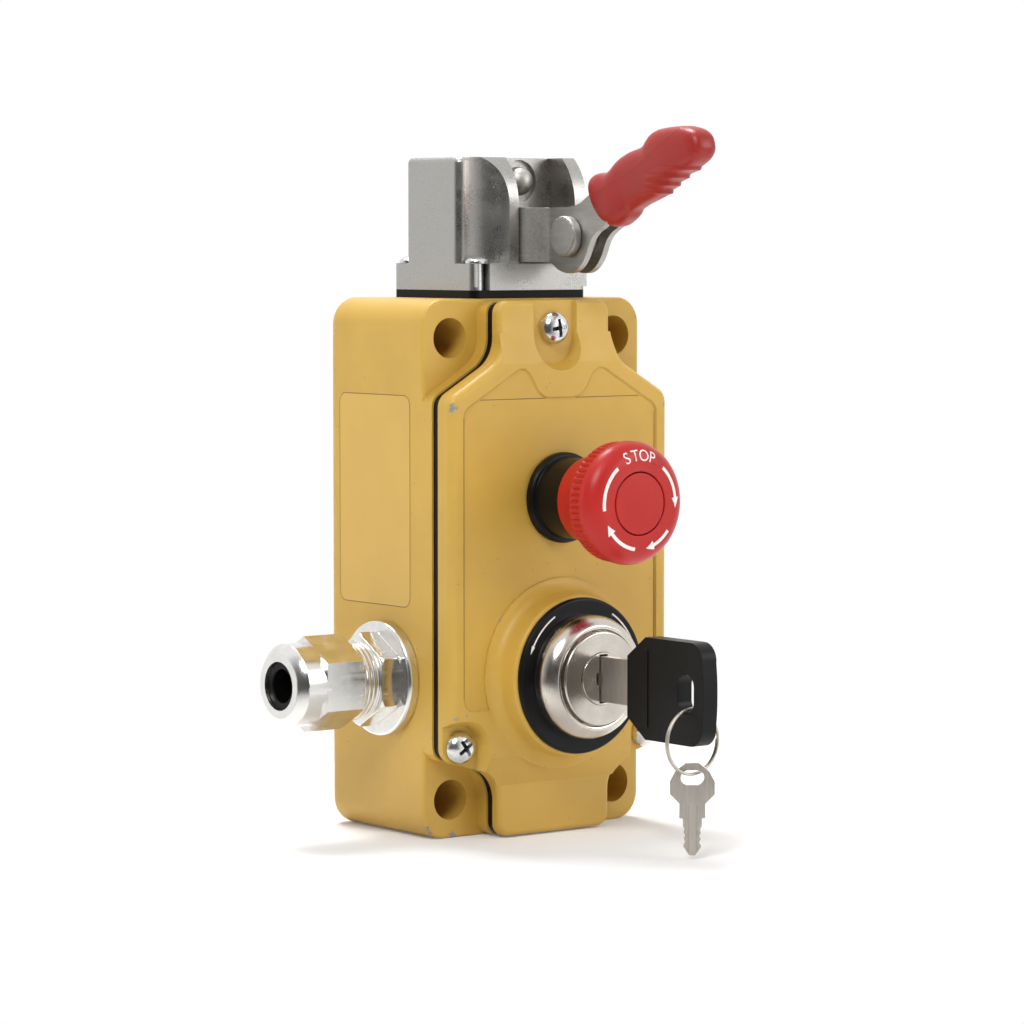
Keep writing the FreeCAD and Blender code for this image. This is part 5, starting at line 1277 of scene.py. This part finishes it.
# ---- labels -----------------------------------------------------------------
def rounded_path(corners, spacing, steps=8):
    """Closely spaced points round a closed outline; each corner is (x, z, radius) in mm."""
    corners = [(x * MM, z * MM, radius * MM) for x, z, radius in corners]
    points = []
    for i, (x, z, radius) in enumerate(corners):
        here = Vector((x, z))
        before = Vector(corners[i - 1][:2]) - here
        after = Vector(corners[(i + 1) % len(corners)][:2]) - here
        half = before.angle(after) / 2
        centre = here + (before.normalized() + after.normalized()).normalized() * radius / math.sin(half)
        reach = radius / math.tan(half)
        first = here + before.normalized() * reach - centre
        last = here + after.normalized() * reach - centre
        turn = math.atan2(first.x * last.y - first.y * last.x, first.dot(last))
        for k in range(steps + 1):
            a = turn * k / steps
            points.append(centre + Vector((first.x * math.cos(a) - first.y * math.sin(a),
                                           first.x * math.sin(a) + first.y * math.cos(a))))
    made = []
    for here, there in zip(points, points[1:] + points[:1]):
        count = max(1, int((there - here).length / spacing))
        made += [here.lerp(there, i / count) for i in range(count)]
    return made


def line_mesh(name, points, width, to_space, keep):
    """A thin closed line along a path, left out where keep says no."""
    vertices, faces = [], []
    count = len(points)
    for i, point in enumerate(points):
        run = (points[(i + 1) % count] - points[i - 1]).normalized()
        side = Vector((-run.y, run.x)) * width / 2
        vertices += [to_space(point + side), to_space(point - side)]
    for i in range(count):
        j = (i + 1) % count
        if keep(points[i]) and keep(points[j]):
            faces.append((2 * i, 2 * i + 1, 2 * j + 1, 2 * j))
    return raw_mesh(name, vertices, faces)


SIDE_LABEL = [(-41.7, 51.5, 3), (-6, 51.5, 3), (-6, -11.2, 3), (-41.7, -11.2, 3)]
FRONT_LABEL = [(-36, 50.6, 4), (36, 50.6, 4), (36, -60, 4), (-26, -60, 4), (-26, -44, 4), (-36, -44, 4)]
PANEL_SPOT = Vector((0.028, 0.036))          # X and Z of a bare spot on the cover's panel


class INTERLOCK_OT_labels(bpy.types.Operator):
    """Bare labels: a thin line round the front one, a film on the left side"""
    bl_idname = "interlock.labels"
    bl_label = "Labels"

    def execute(self, context):
        sizes = context.scene.interlock_sizes
        path = rounded_path(SIDE_LABEL, 2 * MM)
        skin = [(LEFT_X - 0.02 * MM, p.x, p.y) for p in path]
        film = raw_mesh("side_film", skin, [tuple(range(len(skin)))])
        piece("side_label_film", settled(film), "label_film", "housing")
        line = line_mesh("side_line", path, sizes.label_line, lambda p: (LEFT_X - 0.04 * MM, p.x, p.y),
                         lambda p: True)
        piece("side_label_line", line, "label_ink", "housing")
        self.front_line(sizes.label_line)
        return {"FINISHED"}

    def front_line(self, width):
        """Thin line round the front label, laid on the cover's panel and broken by the boss."""
        work = bmesh.new()
        work.from_mesh(frame["nodes"]["front_cover"].data)
        cover = BVHTree.FromBMesh(work)
        work.free()

        def panel(point):
            hit = cover.ray_cast(Vector((point.x, -0.2, point.y)), -OUT)[0]
            return hit.y if hit else 0.0

        front = panel(PANEL_SPOT)
        line = line_mesh("front_line", rounded_path(FRONT_LABEL, 1 * MM), width,
                         lambda p: (p.x, front - 0.04 * MM, p.y),
                         lambda p: abs(panel(p) - front) < 0.02 * MM)
        piece("front_label_line", line, "label_ink", "housing")


# ---- stage ------------------------------------------------------------------
LAMPS = (  # name, place, diameter and power
    ("key_lamp", (-1.0, -0.7, 1.1), 0.7, 12), ("fill_lamp", (0.9, -1.3, 0.6), 0.8, 5.5),
    ("top_lamp", (0.1, 0.45, 1.3), 0.55, 17))
LAMP_TARGET = Vector((0, -0.03, 0.02))
FLOOR_REACH = 4.0
NEAR, FAR = 0.11, 0.30       # the floor's shadow fades out between these distances
DIM_WAY = (-0.83, -0.55, 0)  # towards the dim side of the room


def seen(made):
    """1 for what the camera, metal and glass see, 0 for what lights the object."""
    path = made.node("ShaderNodeLightPath").outputs
    gloss = made.maths("MAXIMUM", path["Is Glossy Ray"], path["Is Transmission Ray"])
    return made.maths("MAXIMUM", path["Is Camera Ray"], gloss)


def dimmed(made, way):
    """1 all round, falling off towards the dim side of the room."""
    return made.band(made.vector("DOT_PRODUCT", way, DIM_WAY), 0.30, 0.88, 1.0, 0.08)


class INTERLOCK_OT_stage(bpy.types.Operator):
    """Pale floor, soft lamps and the white surround"""
    bl_idname = "interlock.stage"
    bl_label = "Stage"

    def execute(self, context):
        corners = [(x * FLOOR_REACH, y * FLOOR_REACH, FLOOR_Z)
                   for x, y in ((-1, -1), (1, -1), (1, 1), (-1, 1))]
        floor = placed("floor", raw_mesh("floor", corners, [(0, 1, 2, 3)]))
        floor.data.materials.append(self.floor_material())
        bpy.context.scene.world = self.surround()
        for name, place, size, power in LAMPS:
            data = bpy.data.lights.new(name, "AREA")
            data.shape, data.size, data.energy = "DISK", size, power
            lamp = placed(name, data)
            lamp.location = place
            lamp.rotation_euler = (LAMP_TARGET - lamp.location).to_track_quat("-Z", "Y").to_euler()
        return {"FINISHED"}

    def floor_material(self):
        """Pale matt floor: shadowed near the switch, plain white further out."""
        made = Finish("pale_floor", (0.95, 0.95, 0.95), 0.9)
        share = made.band(made.vector("LENGTH", made.stretched((1, 1, 0))), NEAR, FAR, 0.12, 1.0)
        camera = made.node("ShaderNodeLightPath").outputs["Is Camera Ray"]
        around = dimmed(made, made.vector("NORMALIZE", made.place))
        glow = made.node("ShaderNodeEmission", {"Strength": made.maths("MAXIMUM", camera, around)})
        blend = made.node("ShaderNodeMixShader", {
            0: made.maths("MULTIPLY", seen(made), share), 1: made.shader.outputs[0], 2: glow.outputs[0]})
        made.fill(made.tree.nodes["Material Output"], {"Surface": blend.outputs[0]})
        return made.material

    def surround(self):
        """White surround with a dim side at the front left, so that metal shows dark bands."""
        world = bpy.data.worlds.new("surround")
        world.use_nodes = True
        made = Wiring(world.node_tree)
        way = made.node("ShaderNodeTexCoord").outputs["Generated"]
        made.fill(made.tree.nodes["Background"], {
            "Color": dimmed(made, way), "Strength": made.band(seen(made), 0, 1, 0.62, 1.0)})
        return world


class INTERLOCK_OT_camera(bpy.types.Operator):
    """Camera in front of the switch and to its left"""
    bl_idname = "interlock.camera"
    bl_label = "Camera"

    def execute(self, context):
        data = bpy.data.cameras.new("camera")
        data.sensor_width, data.lens, data.clip_start = 36, 139.56, 0.05
        turn, dip = math.radians(37.68), math.radians(3.95)
        look = Vector((math.sin(turn) * math.cos(dip), math.cos(turn) * math.cos(dip), -math.sin(dip)))
        camera = placed("camera", data)
        camera.location = (-0.73175, -0.98533, 0.09795)
        camera.rotation_euler = look.to_track_quat("-Z", "Y").to_euler()
        bpy.context.scene.camera = camera
        bpy.context.scene.view_settings.view_transform = "Standard"
        return {"FINISHED"}


OPERATORS = (
    INTERLOCK_OT_housing, INTERLOCK_OT_cover, INTERLOCK_OT_gaskets, INTERLOCK_OT_inner,
    INTERLOCK_OT_cover_screws, INTERLOCK_OT_stop_button, INTERLOCK_OT_stop_print, INTERLOCK_OT_lock,
    INTERLOCK_OT_gland, INTERLOCK_OT_head, INTERLOCK_OT_lever, INTERLOCK_OT_grip, INTERLOCK_OT_key,
    INTERLOCK_OT_key_ring, INTERLOCK_OT_labels, INTERLOCK_OT_stage, INTERLOCK_OT_camera)


class INTERLOCK_PT_panel(bpy.types.Panel):
    """Lists the operators with their sizes and colours"""
    bl_idname = "INTERLOCK_PT_panel"
    bl_label = "Interlock switch"
    bl_space_type = "VIEW_3D"
    bl_region_type = "UI"
    bl_category = "Interlock"

    def draw(self, context):
        for group in (context.scene.interlock_sizes, context.scene.interlock_colours):
            box = self.layout.box()
            for name in group.__annotations__:
                box.prop(group, name)
        for operator in OPERATORS:
            self.layout.operator(operator.bl_idname)


CLASSES = (InterlockSizes, InterlockColours) + OPERATORS + (INTERLOCK_PT_panel,)


def register():
    for cls in CLASSES:
        bpy.utils.register_class(cls)
    bpy.types.Scene.interlock_sizes = bpy.props.PointerProperty(type=InterlockSizes)
    bpy.types.Scene.interlock_colours = bpy.props.PointerProperty(type=InterlockColours)


def unregister():
    del bpy.types.Scene.interlock_colours
    del bpy.types.Scene.interlock_sizes
    for cls in reversed(CLASSES):
        bpy.utils.unregister_class(cls)


def main():
    register()
    for operator in OPERATORS:
        group, name = operator.bl_idname.split(".")
        getattr(getattr(bpy.ops, group), name)()


if __name__ == "__main__":
    main()
